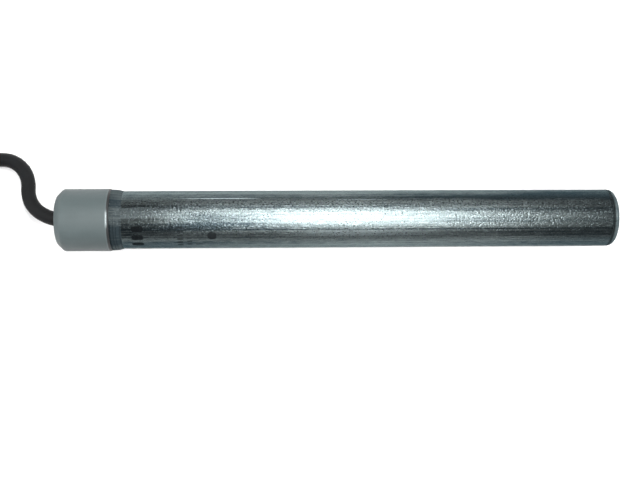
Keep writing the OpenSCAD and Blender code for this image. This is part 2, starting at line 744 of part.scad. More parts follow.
module plug_boot() color([0.12, 0.12, 0.13]) difference() {
    plug_turned([
        [plug_len, cord_r + cord_fit], [plug_len, boot_start_r], [plug_len + boot_len, boot_thin_r],
        [plug_len + boot_len, cord_r + cord_fit]
    ]);
    rib_pitch = boot_len / (boot_ribs + 1);
    for (i = [1 : boot_ribs])
        plug_turned([
            [plug_len + i * rib_pitch - 0.8, boot_thin_r], [plug_len + i * rib_pitch + 0.8, boot_thin_r],
            [plug_len + i * rib_pitch + 0.8, boot_start_r + 1],
            [plug_len + i * rib_pitch - 0.8, boot_start_r + 1]
        ]);
}

sheath_tube();
sheath_end_cap();
head_cap();
neck_seal_rings();
sealant_bead();
cord_gland();
potting();
cord_clamp();
core_live();
core_neutral();
core_earth();
barrier_disc();
mica_board();
crimp_sleeves();
earth_tag();
thermal_fuse();
fuse_leads();
cutout_case();
cutout_cover();
contact_terminal();
fixed_contact();
pivot_terminal();
pivot_pin();
bimetal_arm();
moving_contact();
element_lead();
return_lead();
glass_sleeve();
upper_disc();
ceramic_core();
heating_wire();
mica_sleeve();
mineral_fill();
lower_disc();
fibre_pad();
cord_run();
cord_hank();
cord_tail();
hank_tie();
plug_body();
plug_pins();
plug_earth_clips();
plug_boot();
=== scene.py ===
"""Looks of a submersible aquarium heater that lies on a pale studio floor.

A drawn metal tube with a closed end, a moulded grey head cap, a fillet of sealant between them, and a
mains lead that leaves the cap, folds into a tied hank and ends in its plug. The inner parts stay the
frame's own solids and get their finishes here. Sizes are in millimetres unless a name says otherwise.
"""

import logging
import math
from collections.abc import Callable, Sequence
from dataclasses import dataclass, field
from enum import Enum
from functools import partial
from itertools import pairwise

import bpy
from mathutils import Matrix, Vector

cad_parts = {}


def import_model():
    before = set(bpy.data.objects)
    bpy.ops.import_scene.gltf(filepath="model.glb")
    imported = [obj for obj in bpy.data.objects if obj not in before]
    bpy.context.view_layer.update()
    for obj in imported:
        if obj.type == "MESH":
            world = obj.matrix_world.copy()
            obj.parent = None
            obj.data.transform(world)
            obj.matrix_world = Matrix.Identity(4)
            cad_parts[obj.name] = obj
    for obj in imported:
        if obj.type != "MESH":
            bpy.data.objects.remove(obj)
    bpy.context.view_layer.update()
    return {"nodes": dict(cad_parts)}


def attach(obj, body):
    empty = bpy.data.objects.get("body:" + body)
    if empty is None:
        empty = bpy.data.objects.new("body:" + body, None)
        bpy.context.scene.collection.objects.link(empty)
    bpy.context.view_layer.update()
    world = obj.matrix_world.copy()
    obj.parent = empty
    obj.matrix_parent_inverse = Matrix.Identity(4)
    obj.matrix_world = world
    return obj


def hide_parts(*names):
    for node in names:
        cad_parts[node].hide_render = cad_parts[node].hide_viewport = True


LOG = logging.getLogger("aquarium_heater")

MM = 0.001
HEATER_BODY = "heater"
CAP_FACE_X = -121.5
AXIS_HEIGHT = 13.5
HEATER_AXIS = (0.0, AXIS_HEIGHT)
UNROLLED = "unrolled"
# How near to each other a turned profile's first and last points lie when it is a closed wall
MERGE_WITHIN = 0.0004
# A place far off to one side, which no two points of a piece are equally far from
SORTING_PLACE = (1.0, 0.37, 0.19)

Profile = Sequence[tuple[float, float]]
Point = tuple[float, float, float]
Tree = bpy.types.NodeTree
Node = bpy.types.Node
Input = Node | bpy.types.NodeSocket | float | tuple[float, ...] | str | None


class Slot(Enum):
    """The record's material slots; no piece here is given one of them."""

    TUBE_METAL = "tube_metal"
    CAP_PLASTIC = "cap_plastic"
    SEALANT = "sealant"
    LEAD_RUBBER = "lead_rubber"
    TIE_FABRIC = "tie_fabric"
    PLUG_PLASTIC = "plug_plastic"
    PLUG_METAL = "plug_metal"


# ---------------------------------------------------------------------------------------------------
# Material helpers


def linear(code: str) -> tuple[float, float, float, float]:
    """Turns an sRGB hex colour into Blender's linear one.

    Args:
        code: The colour as six hex digits.

    Returns:
        Red, green, blue and full alpha, linear.
    """
    parts = (int(code[i : i + 2], 16) / 255 for i in (0, 2, 4))
    red, green, blue = (c / 12.92 if c <= 0.04045 else ((c + 0.055) / 1.055) ** 2.4 for c in parts)
    return red, green, blue, 1.0


def feed(socket: bpy.types.NodeSocket, value: Input) -> None:
    """Gives an input socket its value or its link.

    Args:
        socket: The input socket.
        value: A number or vector, a colour as hex digits, an output socket, a node whose first output in use is
            meant, or None to leave the socket as it is.
    """
    if isinstance(value, bpy.types.Node):
        value = next(output for output in value.outputs if output.enabled)
    if isinstance(value, bpy.types.NodeSocket):
        socket.id_data.links.new(value, socket)
    elif value is not None:
        socket.default_value = linear(value) if isinstance(value, str) else value


def add_node(tree: Tree, kind: str, *inputs: Input, **settings: object) -> Node:
    """Adds a node with its settings and links.

    Args:
        tree: The material's node tree.
        kind: The node's type name, without its first words.
        inputs: What the node's inputs get, in the order that it shows them.
        settings: Attributes to set on the node.

    Returns:
        The new node.
    """
    node = tree.nodes.new("ShaderNode" + kind)
    for name, value in settings.items():
        setattr(node, name, value)
    for socket, value in zip([socket for socket in node.inputs if socket.enabled], inputs):
        feed(socket, value)
    return node


def object_mm(tree: Tree, stretch: Point = (1, 1, 1)) -> Node:
    """Reads object coordinates in millimetres, with each axis scaled by its stretch."""
    place = add_node(tree, "TexCoord").outputs["Object"]
    return add_node(tree, "Mapping", place, None, None, tuple(s / MM for s in stretch))


def unrolled_mm(tree: Tree, stretch: Point = (1, 1, 1), shift: float = 0.0) -> Node:
    """Reads the piece's own map, millimetres along it and round it, scaled, at another depth of the pattern."""
    place = add_node(tree, "UVMap", uv_map=UNROLLED)
    return add_node(tree, "Mapping", place, (0, 0, shift), None, stretch)


def unrolled_parts(tree: Tree) -> tuple[bpy.types.NodeSocket, bpy.types.NodeSocket]:
    """Gives the way along the piece from the cap's end face, and the way round it from its top line."""
    parts = add_node(tree, "SeparateXYZ", add_node(tree, "UVMap", uv_map=UNROLLED))
    return parts.outputs["X"], parts.outputs["Y"]


def drawn_pattern(
    tree: Tree, per_mm: tuple[float, float], shift: float = 0.0, layers: float = 2.0, rough: float = 0.6
) -> Node:
    """Adds a cloudy pattern that is stretched along the piece as drawing stretches its grain.

    Args:
        tree: The material's node tree.
        per_mm: Features in a millimetre along the piece and round it.
        shift: A depth of its own for each pattern, so that no two are alike.
        layers: How many finer layers it has.
        rough: How strong the finer layers are.

    Returns:
        The pattern, about 0.5 in the middle.
    """
    return add_node(tree, "TexNoise", unrolled_mm(tree, (*per_mm, 1), shift), 1.0, layers, rough)


def off_line(tree: Tree, way: Input, line: float) -> Node:
    """Gives how far a place is from a line across its way, on either side."""
    return add_node(tree, "Math", add_node(tree, "Math", way, line, operation="SUBTRACT"), operation="ABSOLUTE")


def swing(tree: Tree, pattern: Input, reach: float, value: Input) -> Node:
    """Lets a value swing up and down with a pattern; the reach is from the pattern's 0 to its 1."""
    middle = add_node(tree, "Math", pattern, 0.5, operation="SUBTRACT")
    return add_node(tree, "Math", middle, reach, value, operation="MULTIPLY_ADD")


def raise_relief(tree: Tree, shader: Node, height: Input, depth: float) -> None:
    """Gives the shader a bump.

    Args:
        tree: The material's node tree.
        shader: The shader that gets the bump.
        height: The pattern that is raised.
        depth: How high a full step of it stands, in millimetres.
    """
    bump = add_node(tree, "Bump")
    feed(bump.inputs["Height"], height)
    feed(bump.inputs["Distance"], depth * MM)
    feed(shader.inputs["Normal"], bump)


@dataclass(frozen=True)
class Finish:
    """A finish that a material is made from.

    Each kind of finish adds its own pattern in paint(), from real sizes in millimetres.
    """

    name: str
    colour: str
    roughness: float
    metallic: float = 0.0

    def material(self) -> bpy.types.Material:
        """Makes the finish's material, or finds it where it has been made already.

        Returns:
            The material, with its nodes.
        """
        made = bpy.data.materials.get(self.name)
        if made is not None:
            return made
        made = bpy.data.materials.new(self.name)
        made.use_nodes = True
        tree = made.node_tree
        tree.nodes.clear()
        shader = add_node(tree, "BsdfPrincipled", self.colour, self.metallic, self.roughness)
        add_node(tree, "OutputMaterial", shader)
        self.paint(tree, shader)
        return made

    def paint(self, tree: Tree, shader: Node) -> None:
        """Adds the finish's own pattern to a material; the plain finish has none."""


@dataclass(frozen=True)
class Streak:
    """A band along the tube: painted shade where it is dark and painted highlight where it is bright; a few thin
    dark ones are die lines.
    """

    # The middle line, round the tube from its top line towards the front, and half the width
    round_at: float
    half_width: float
    # How much painted shade it lays on the metal, or below 0 how much painted highlight
    strength: float
    # Where along the tube it starts to show and is full, either way round, and where it ends and how slowly
    starts: float = -1.0
    full: float = 0.0
    ends: float = 9999.0
    # Whether gaps break it up
    broken: bool = False
    # How much of its half width is at full strength
    crisp: float = 0.35
    fade: float = 10.0


@dataclass(frozen=True)
class Arc:
    """A dark line that runs round the tube."""

    along_at: float
    half_width: float
    strength: float


@dataclass(frozen=True)
class Mark:
    """A printed bar on the tube, with its middle and its half sizes along the tube and round it."""

    along_at: float
    round_at: float
    half_length: float
    half_width: float
    strength: float


@dataclass(frozen=True)
class DrawnMetal(Finish):
    """Stainless tube as it leaves the drawing die: satin along its length, with long die lines and a pickled grain.
    Darker stripes along it are painted shade that stands for dark reflections, brighter ones are painted
    highlight, and the grain's specks and painted glints are drawn only along the highlight's line. The eye sees a
    broad soft highlight that the grain breaks up at its edges, and painted shade darkens the metal towards its hot
    end, where the light falls off."""

    line_pitch: float = 1.0
    fine_pitch: float = 0.28
    dash_pitch: float = 0.75
    grain: tuple[float, float] = (0.9, 0.6)
    grain_depth: float = 0.15
    glint_share: float = 0.3
    dark_colour: str = "2d363a"
    bright_colour: str = "d3e4e9"
    edge_colour: str = "aeb4b6"
    ink_colour: str = "191c1e"
    arc_colour: str = "0e1011"
    # The line round the tube where the highlight lies; the specks and the painted glints are drawn only near it
    light_at: float = -1.5
    # The half width from which a streak's edges wander
    wander_from: float = 2.0
    # In the order that they were laid down; a broken streak's gaps follow from its place in the list
    streaks: tuple[Streak, ...] = (
        # Painted shade that stands for dark reflections: the dark back flank and the wide stripes on the front one
        Streak(-11.2, 2.6, 0.7, 120, 195),
        Streak(-10.4, 2.8, 0.2),
        Streak(-9.7, 1.4, 0.25, 140, 172, crisp=0.6),
        Streak(6.0, 3.2, 0.3, 110, 40),
        Streak(13.5, 7.5, 0.6, 140, 50),
        Streak(12.5, 5.5, 0.4, 135, 215),
        Streak(-15.0, 3.0, 0.35, 140, 220),
        # Thin lines that the die scored; the first also paints the dark edge of the highlight
        Streak(-3.9, 0.24, 0.6, ends=84, broken=True),
        Streak(4.76, 0.34, 0.6, crisp=0.5),
        Streak(8.27, 0.34, 0.3, crisp=0.5),
        Streak(-10.3, 0.4, 0.3, crisp=0.5),
        # Painted shade and painted highlight that shape the highlight near the middle, with a thin painted line of
        # light
        Streak(6.0, 2.2, 0.3, 150, 200, crisp=0.6),
        Streak(6.7, 1.8, -0.18, 95, 120, 130, crisp=0.5, fade=45),
        Streak(-9.7, 0.3, -0.8, 50, 68, 78),
        Streak(3.4, 1.6, 0.55, 125, 60, crisp=0.75),
        Streak(0.6, 3.4, 0.55, 44, 62, 70, crisp=0.5, fade=32),
        # Painted shade that comes up towards the hot end, where the light falls off
        Streak(-5.0, 1.6, 0.34, 205, 150, crisp=0.65),
        Streak(-3.4, 1.5, 0.34, 152, 176, crisp=0.6),
        Streak(0.6, 1.6, 0.2, 150, 172, 190, crisp=0.6, fade=25),
        Streak(-9.0, 1.4, 0.25, 175, 220, crisp=0.6),
        # Painted highlight beside the print, and two thin painted lines of light
        Streak(-2.6, 2.7, -0.26, 54, 31, crisp=0.75),
        Streak(-6.4, 0.5, -0.1, 150, 190, broken=True),
        Streak(-8.7, 0.2, -0.4, 116, 122, 134),
    )
    dull_from: float = 188.0
    dull_to: float = 239.0
    dull_share: float = 0.5
    arcs: tuple[Arc, ...] = ()
    arc_wander: float = 0.0
    arc_fade: float = 0.0
    printed: bool = False

    def paint(self, tree: Tree, shader: Node) -> None:
        """Adds the painted shade and highlight streaks, the grain with its painted glints, the painted shade towards
        the hot end and the printed marks.

        Args:
            tree: The material's node tree.
            shader: The material's shader.
        """
        add = partial(add_node, tree)
        along, round_it = unrolled_parts(tree)
        lines = drawn_pattern(tree, (0.006, 1 / self.line_pitch), layers=3.0)
        fine = drawn_pattern(tree, (0.02, 1 / self.fine_pitch), 7)
        grain = drawn_pattern(tree, (1 / self.grain[0], 1 / self.grain[1]))
        patches = drawn_pattern(tree, (0.03, 0.25), 3, rough=0.5)
        dashes = drawn_pattern(tree, (0.2, 1 / self.dash_pitch), 17, rough=0.7)

        # The die lines set the tone, and specks, dashes and patches break it up; the specks are drawn only along the
        # highlight, as painted sparkle
        tone = add("MapRange", lines, 0.34, 0.66, 0.45, 1.05)
        lit = add("MapRange", off_line(tree, round_it, self.light_at), 5.0, 7.5, 1.0, 0.2)
        specks = add("Math", add("Math", grain, 0.4, operation="MAXIMUM"), 0.5, operation="SUBTRACT")
        specks = add("Math", specks, lit, operation="MULTIPLY")
        tone = add("Math", specks, 0.9, tone, operation="MULTIPLY_ADD")
        tone = swing(tree, dashes, 1.25, tone)
        tone = swing(tree, patches, 0.25, tone)

        # Painted glints: specks of painted highlight on the coarsest grain, in dashes, only along the highlight
        glints = add("MapRange", grain, 0.54, 0.72, 0.0, self.glint_share)
        shine = add("Math", glints, add("MapRange", dashes, 0.4, 0.6, 0.1, 1.0), operation="MULTIPLY")
        shine = add("Math", shine, lit, operation="MULTIPLY")

        # Dark streaks add painted shade to the tone, and bright ones add painted highlight
        for number, streak in enumerate(self.streaks):
            drawn = self.draw_streak(tree, along, round_it, patches, streak, number)
            if streak.strength > 0:
                tone = add("Math", drawn, -streak.strength, tone, operation="MULTIPLY_ADD")
            else:
                shine = add("Math", drawn, -streak.strength, shine, operation="MULTIPLY_ADD")
        # Painted shade: the metal darkens towards its hot end, where the light falls off
        dull = add("MapRange", along, self.dull_from, self.dull_to, 1.0, 1.0 - self.dull_share)
        tone = add("Math", add("Math", tone, 0.0, operation="MAXIMUM"), dull, operation="MULTIPLY")
        tone = add("Math", tone, 1.0, operation="MINIMUM")
        metal = add("Mix", tone, self.dark_colour, self.colour, data_type="RGBA")
        metal = add("Mix", shine, metal, self.bright_colour, data_type="RGBA")
        rough = add("Math", grain, 0.14, self.roughness - 0.07, operation="MULTIPLY_ADD")
        if self.printed:
            ink = self.draw_print(tree, along, round_it)
            metal = add("Mix", ink, metal, self.ink_colour, data_type="RGBA")
            rough = add("Math", ink, 0.3, rough, operation="MULTIPLY_ADD")
        feed(shader.inputs["Base Color"], self.draw_arcs(tree, along, round_it, metal))
        feed(shader.inputs["Roughness"], rough)

        # The highlight is drawn out across the die lines, and a steep flank reflects greyer
        feed(shader.inputs["Anisotropic"], 0.7)
        feed(shader.inputs["Anisotropic Rotation"], 0.25)
        feed(shader.inputs["Tangent"], add("Tangent", direction_type="UV_MAP", uv_map=UNROLLED))
        feed(shader.inputs["Specular Tint"], self.edge_colour)
        height = add("Math", fine, 0.14, add("Math", lines, 0.3, operation="MULTIPLY"), operation="MULTIPLY_ADD")
        raise_relief(tree, shader, add("Math", grain, height, operation="ADD"), self.grain_depth)

    def draw_streak(
        self, tree: Tree, along: Input, round_it: Input, wander: Input, streak: Streak, number: int
    ) -> Node:
        """Draws one streak.

        Args:
            tree: The material's node tree.
            along: Millimetres from the cap's end face.
            round_it: Millimetres round the tube from its top line, towards the front.
            wander: A slow pattern that moves the edges of a wide streak.
            streak: Where the streak is and how it looks.
            number: Its number, so that no two broken streaks break at the same places.

        Returns:
            How much of the streak shows, from 0 to 1.
        """
        add = partial(add_node, tree)
        half = streak.half_width
        away = off_line(tree, round_it, streak.round_at)
        if half > self.wander_from:
            away = swing(tree, wander, half, away)
        drawn = add("MapRange", away, half, half * streak.crisp, 0.0, 1.0)
        if streak.broken:
            gaps = drawn_pattern(tree, (0.3, 0.02), 11 + number, rough=0.7)
            drawn = add("Math", drawn, add("MapRange", gaps, 0.42, 0.56, 0.1, 1.0), operation="MULTIPLY")
        grown = add("MapRange", along, streak.starts, streak.full, 0.0, 1.0)
        left = add("MapRange", along, streak.ends, streak.ends + streak.fade, 1.0, 0.0)
        return add("Math", drawn, add("Math", grown, left, operation="MULTIPLY"), operation="MULTIPLY")

    def draw_arcs(self, tree: Tree, along: Input, round_it: Input, metal: Input) -> Input:
        """Draws the dark arcs that run round the piece, fainter behind its top line where they fade.

        Args:
            tree: The material's node tree.
            along: Millimetres from the cap's end face.
            round_it: Millimetres round the piece from its top line, towards the front.
            metal: The metal's colour.

        Returns:
            The colour with the arcs.
        """
        if not self.arcs:
            return metal
        add = partial(add_node, tree)
        shown = add("MapRange", round_it, -1.0, 3.5, 1.0 - self.arc_fade, 1.0)
        if self.arc_wander:
            along = swing(tree, drawn_pattern(tree, (0.05, 0.16), 31, rough=0.5), self.arc_wander, along)
        for line in self.arcs:
            away = off_line(tree, along, line.along_at)
            arc = add("MapRange", away, line.half_width, line.half_width * 0.3, 0.0, line.strength)
            arc = add("Math", arc, shown, operation="MULTIPLY")
            metal = add("Mix", arc, metal, self.arc_colour, data_type="RGBA")
        return metal

    def draw_print(self, tree: Tree, along: Input, round_it: Input) -> Node:
        """Draws plain printed marks near the cap: bars, two columns of ticks and a round dot.

        Args:
            tree: The material's node tree.
            along: Millimetres from the cap's end face.
            round_it: Millimetres round the tube from its top line, towards the front.

        Returns:
            How much ink covers the metal, from 0 to 1.
        """
        add = partial(add_node, tree)
        marks = [
            Mark(35.2, 4.3, 2.5, 1.35, 1.0),
            Mark(35.2, 8.4, 2.5, 1.35, 1.0),
            Mark(35.2, 12.4, 2.5, 1.2, 0.9),
            *(Mark(53.2, 3.6 + 1.9 * n, 1.3, 0.5, 0.8) for n in range(6)),
            *(Mark(57.2, 6.9 + 1.9 * n, 1.1, 0.45, 0.65) for n in range(4)),
            Mark(61.2, 12.4, 1.6, 0.5, 0.4),
        ]
        dot_along, dot_round, dot_out, dot_in, dot_strength = 66.8, 7.6, 2.25, 1.85, 0.95
        # The ink bled a little on the grain, so each mark has a ragged edge and thin places
        ragged = add("TexNoise", unrolled_mm(tree, shift=21), 1.6, 3.0, 0.7)
        edge = add("Math", ragged, 0.5, -0.25, operation="MULTIPLY_ADD")
        total: Input = 0.0
        for mark in marks:
            reach = []
            for way, middle, half in (
                (along, mark.along_at, mark.half_length),
                (round_it, mark.round_at, mark.half_width),
            ):
                share = add("Math", add("Math", way, middle, operation="SUBTRACT"), half, operation="DIVIDE")
                reach.append(add("Math", add("Math", share, operation="ABSOLUTE"), 4.0, operation="POWER"))
            out = add("Math", add("Math", *reach, operation="ADD"), edge, operation="ADD")
            inside = add("MapRange", out, 1.15, 0.75, 0.0, mark.strength)
            total = add("Math", inside, total, operation="MAXIMUM")
        sides = [
            add("Math", way, middle, operation="SUBTRACT")
            for way, middle in ((along, dot_along), (round_it, dot_round))
        ]
        square = add("Math", sides[1], sides[1], operation="MULTIPLY")
        square = add("Math", sides[0], sides[0], square, operation="MULTIPLY_ADD")
        away = add("Math", add("Math", square, operation="SQRT"), edge, operation="ADD")
        dot = add("MapRange", away, dot_out, dot_in, 0.0, dot_strength)
        total = add("Math", dot, total, operation="MAXIMUM")
        return add("Math", total, add("MapRange", ragged, 0.25, 0.45, 0.72, 0.97), operation="MULTIPLY")


@dataclass(frozen=True)
class MouldedPlastic(Finish):
    """Injection moulded plastic from an eroded mould: an even colour that clouds a little over a few
    millimetres, a very fine grain in the gloss, and faint flow streaks away from the gate."""

    cloud: float = 7.0
    grain: float = 0.35
    grain_depth: float = 0.012
    cloud_colour: str = "000000"
    flow_stretch: Point = (0.05, 0.6, 0.6)
    flow_share: float = 0.3

    def paint(self, tree: Tree, shader: Node) -> None:
        """Adds the clouding, the flow streaks and the grain.

        Args:
            tree: The material's node tree.
            shader: The material's shader.
        """
        add = partial(add_node, tree)
        place = object_mm(tree)
        clouds = add("TexNoise", place, 1 / self.cloud, 3.0, 0.6)
        flow = add("TexNoise", object_mm(tree, self.flow_stretch), 1.0, 3.0, 0.55)
        grain = add("TexNoise", place, 1 / self.grain, 1.0, 0.5)
        share = add("Math", flow, self.flow_share, clouds, operation="MULTIPLY_ADD")
        share = add("MapRange", share, 0.3, 1.0, 0.0, 1.0)
        feed(shader.inputs["Base Color"], add("Mix", share, self.colour, self.cloud_colour, data_type="RGBA"))
        rough = add("Math", grain, 0.16, self.roughness - 0.08, operation="MULTIPLY_ADD")
        feed(shader.inputs["Roughness"], rough)
        raise_relief(tree, shader, grain, self.grain_depth)


@dataclass(frozen=True)
class CapPlastic(MouldedPlastic):
    """The cap's plastic, with painted shade and highlight: painted shade darkens its front flank, the flash was
    scraped off its rim, which leaves a thin polished line with a painted highlight along the top, and a painted
    shadow makes a dark edge just beyond that line, in the corner against the sealant."""

    shine_at: float = 22.4
    shine_half: float = 0.5
    shine_top: float = -0.1
    shine_colour: str = "757f81"
    shine_polish: float = 0.44
    grime_from: float = 22.9
    grime_edge: float = 0.15
    grime_reach: float = 0.45
    grime_colour: str = "121415"
    worn_at: float = 20.0
    worn_share: float = 0.45
    worn_colour: str = "2a3031"

    def paint(self, tree: Tree, shader: Node) -> None:
        """Adds the plastic's pattern, the painted shade on the front flank, and the two lines at the rim: the
        polished line with its painted highlight and the painted shadow beside it.

        Args:
            tree: The material's node tree.
            shader: The material's shader.
        """
        super().paint(tree, shader)
        add = partial(add_node, tree)
        plain = shader.inputs["Base Color"].links[0].from_socket
        rough = shader.inputs["Roughness"].links[0].from_socket
        along, round_it = unrolled_parts(tree)
        # Painted shade on the front flank, strongest along its side line
        worn = add("MapRange", off_line(tree, round_it, self.worn_at), 14.5, 2.0, 0.0, self.worn_share)
        plain = add("Mix", worn, plain, self.worn_colour, data_type="RGBA")
        # The rim line: polished, which lowers its roughness, with a painted highlight in its colour that is
        # strongest near the top
        off_top = off_line(tree, round_it, self.shine_top)
        away = off_line(tree, along, self.shine_at)
        shine = add("MapRange", away, self.shine_half, self.shine_half * 0.4, 0.0, 1.0)
        shine = add("Math", shine, add("MapRange", off_top, 1.8, 4.0, 1.0, 0.1), operation="MULTIPLY")
        # The painted shadow comes nearer to the line away from the top
        creep = add("MapRange", off_top, 2.5, 4.5, 0.0, self.grime_reach)
        nearer = add("Math", along, creep, operation="ADD")
        grime = add("MapRange", nearer, self.grime_from, self.grime_from + self.grime_edge, 0.0, 1.0)
        colour = add("Mix", shine, plain, self.shine_colour, data_type="RGBA")
        colour = add("Mix", grime, colour, self.grime_colour, data_type="RGBA")
        feed(shader.inputs["Base Color"], colour)
        feed(shader.inputs["Roughness"], add("Math", shine, -self.shine_polish, rough, operation="MULTIPLY_ADD"))


@dataclass(frozen=True)
class ExtrudedRubber(Finish):
    """Rubber jacket as it leaves the extruder: near black and half matt, with fine lines along it, a grey
    bloom of talc where it has been handled, and a soft line of light on its shoulder."""

    bloom: float = 11.0
    dust: float = 0.8
    bloom_colour: str = "141618"

    def paint(self, tree: Tree, shader: Node) -> None:
        """Adds the lines along the jacket, the bloom and the light dust.

        Args:
            tree: The material's node tree.
            shader: The material's shader.
        """
        add = partial(add_node, tree)
        lines = drawn_pattern(tree, (0.02, 2.4), layers=3.0)
        place = object_mm(tree)
        bloom = add("TexNoise", place, 1 / self.bloom, 4.0, 0.62)
        dust = add("TexNoise", place, 1 / self.dust, 2.0, 0.7)
        share = add("Math", dust, 0.45, bloom, operation="MULTIPLY_ADD")
        share = add("MapRange", share, 0.62, 1.05, 0.0, 0.8)
        feed(shader.inputs["Base Color"], add("Mix", share, self.colour, self.bloom_colour, data_type="RGBA"))
        rough = add("Math", bloom, 0.3, self.roughness - 0.15, operation="MULTIPLY_ADD")
        feed(shader.inputs["Roughness"], rough)
        feed(shader.inputs["Specular IOR Level"], 0.17)
        feed(shader.inputs["Sheen Weight"], 0.12)
        feed(shader.inputs["Sheen Roughness"], 0.35)
        raise_relief(tree, shader, add("Math", dust, 0.25, lines, operation="MULTIPLY_ADD"), 0.05)


@dataclass(frozen=True)
class WornMetal(Finish):
    """Plated, rolled or drawn small metal: a tinted metal with fine lines from its tool along one axis, dull
    spots of oxide and a change of gloss from handling."""

    spot_colour: str = "4a4742"
    spot: float = 1.2
    lines: Point = (0.15, 3.0, 3.0)
    line_depth: float = 0.02
    spot_share: float = 0.55

    def paint(self, tree: Tree, shader: Node) -> None:
        """Adds the tool lines and the spots of oxide.

        Args:
            tree: The material's node tree.
            shader: The material's shader.
        """
        add = partial(add_node, tree)
        spots = add("TexNoise", object_mm(tree), 1 / self.spot, 4.0, 0.65)
        lines = add("TexNoise", object_mm(tree, self.lines), 1.0, 2.0, 0.5)
        share = add("MapRange", spots, 0.48, 0.75, 0.0, self.spot_share)
        feed(shader.inputs["Base Color"], add("Mix", share, self.colour, self.spot_colour, data_type="RGBA"))
        rough = add("Math", spots, 0.3, self.roughness - 0.15, operation="MULTIPLY_ADD")
        feed(shader.inputs["Roughness"], rough)
        raise_relief(tree, shader, lines, self.line_depth)


@dataclass(frozen=True)
class FiredMineral(Finish):
    """Fired, pressed or poured mineral: matt and pale, with a sandy grain, small dark inclusions and warmer
    and cooler patches from the kiln or the mould."""

    patch_colour: str = "b9ad98"
    patch: float = 5.0
    grit: float = 0.5
    grit_depth: float = 0.05
    speck_share: float = 0.35
    speck_colour: str = "4a443b"

    def paint(self, tree: Tree, shader: Node) -> None:
        """Adds the patches, the specks and the sandy grain.

        Args:
            tree: The material's node tree.
            shader: The material's shader.
        """
        add = partial(add_node, tree)
        place = object_mm(tree)
        patches = add("TexNoise", place, 1 / self.patch, 3.0, 0.6)
        grit = add("TexNoise", place, 1 / self.grit, 2.0, 0.7)
        share = add("MapRange", patches, 0.4, 0.7, 0.0, 1.0)
        base = add("Mix", share, self.colour, self.patch_colour, data_type="RGBA")
        specks = add("MapRange", grit, 0.68, 0.78, 0.0, self.speck_share)
        feed(shader.inputs["Base Color"], add("Mix", specks, base, self.speck_colour, data_type="RGBA"))
        raise_relief(tree, shader, grit, self.grit_depth)


@dataclass(frozen=True)
class LayeredSheet(Finish):
    """Pressed sheet of mica or fibre: flakes that lie flat and overlap, with a pearly or papery shine that
    changes from flake to flake."""

    flake: float = 1.6
    flake_colour: str = "c9b98e"
    flake_depth: float = 0.04
    sheen: float = 0.2

    def paint(self, tree: Tree, shader: Node) -> None:
        """Adds the flakes.

        Args:
            tree: The material's node tree.
            shader: The material's shader.
        """
        add = partial(add_node, tree)
        flakes = add("TexVoronoi", object_mm(tree, (1, 1, 3)), 1 / self.flake)
        share = add("MapRange", add("TexNoise", flakes.outputs["Color"], 2.0, 1.0, 0.5), 0.3, 0.7, 0.0, 1.0)
        feed(shader.inputs["Base Color"], add("Mix", share, self.colour, self.flake_colour, data_type="RGBA"))
        rough = add("Math", share, 0.25, self.roughness - 0.1, operation="MULTIPLY_ADD")
        feed(shader.inputs["Roughness"], rough)
        feed(shader.inputs["Sheen Weight"], self.sheen)
        raise_relief(tree, shader, flakes.outputs["Distance"], self.flake_depth)


@dataclass(frozen=True)
class Braid(Finish):
    """Woven or braided yarn: two sets of threads that cross, each with a light crown and a dark gap, and a
    few loose fibres. A thread is drawn a little coarser than the real one so that it shows."""

    thread: float = 0.5
    thread_depth: float = 0.12
    gap_colour: str = "1c1c1d"
    on_own_map: bool = False

    def paint(self, tree: Tree, shader: Node) -> None:
        """Adds the crossing threads and the fuzz.

        Args:
            tree: The material's node tree.
            shader: The material's shader.
        """
        add = partial(add_node, tree)
        place = unrolled_mm(tree) if self.on_own_map else object_mm(tree)
        parts = add("SeparateXYZ", place)
        turn = math.pi / self.thread
        waves = [
            add("Math", add("Math", parts.outputs[axis], turn, operation="MULTIPLY"), operation="SINE")
            for axis in ("X", "Y")
        ]
        crown = add("Math", add("Math", *waves, operation="MULTIPLY"), operation="ABSOLUTE")
        fuzz = add("TexNoise", place, 1 / (self.thread * 0.6), 3.0, 0.7)
        share = add("Math", fuzz, 0.5, crown, operation="MULTIPLY_ADD")
        share = add("MapRange", share, 0.2, 1.0, 0.0, 1.0)
        feed(shader.inputs["Base Color"], add("Mix", share, self.gap_colour, self.colour, data_type="RGBA"))
        feed(shader.inputs["Sheen Weight"], 0.3)
        feed(shader.inputs["Sheen Roughness"], 0.4)
        raise_relief(tree, shader, add("Math", fuzz, 0.4, crown, operation="MULTIPLY_ADD"), self.thread_depth)


@dataclass(frozen=True)
class StudioPaper(Finish):
    """Matt white background paper: an even pale floor with hardly any tooth."""

    tooth: float = 2.5
    tooth_colour: str = "fafafa"

    def paint(self, tree: Tree, shader: Node) -> None:
        """Adds the paper's tooth.

        Args:
            tree: The material's node tree.
            shader: The material's shader.
        """
        tooth = add_node(tree, "TexNoise", object_mm(tree), 1 / self.tooth, 2.0, 0.5)
        colour = add_node(tree, "Mix", tooth, self.colour, self.tooth_colour, data_type="RGBA")
        feed(shader.inputs["Base Color"], colour)
        feed(shader.inputs["Specular IOR Level"], 0.2)


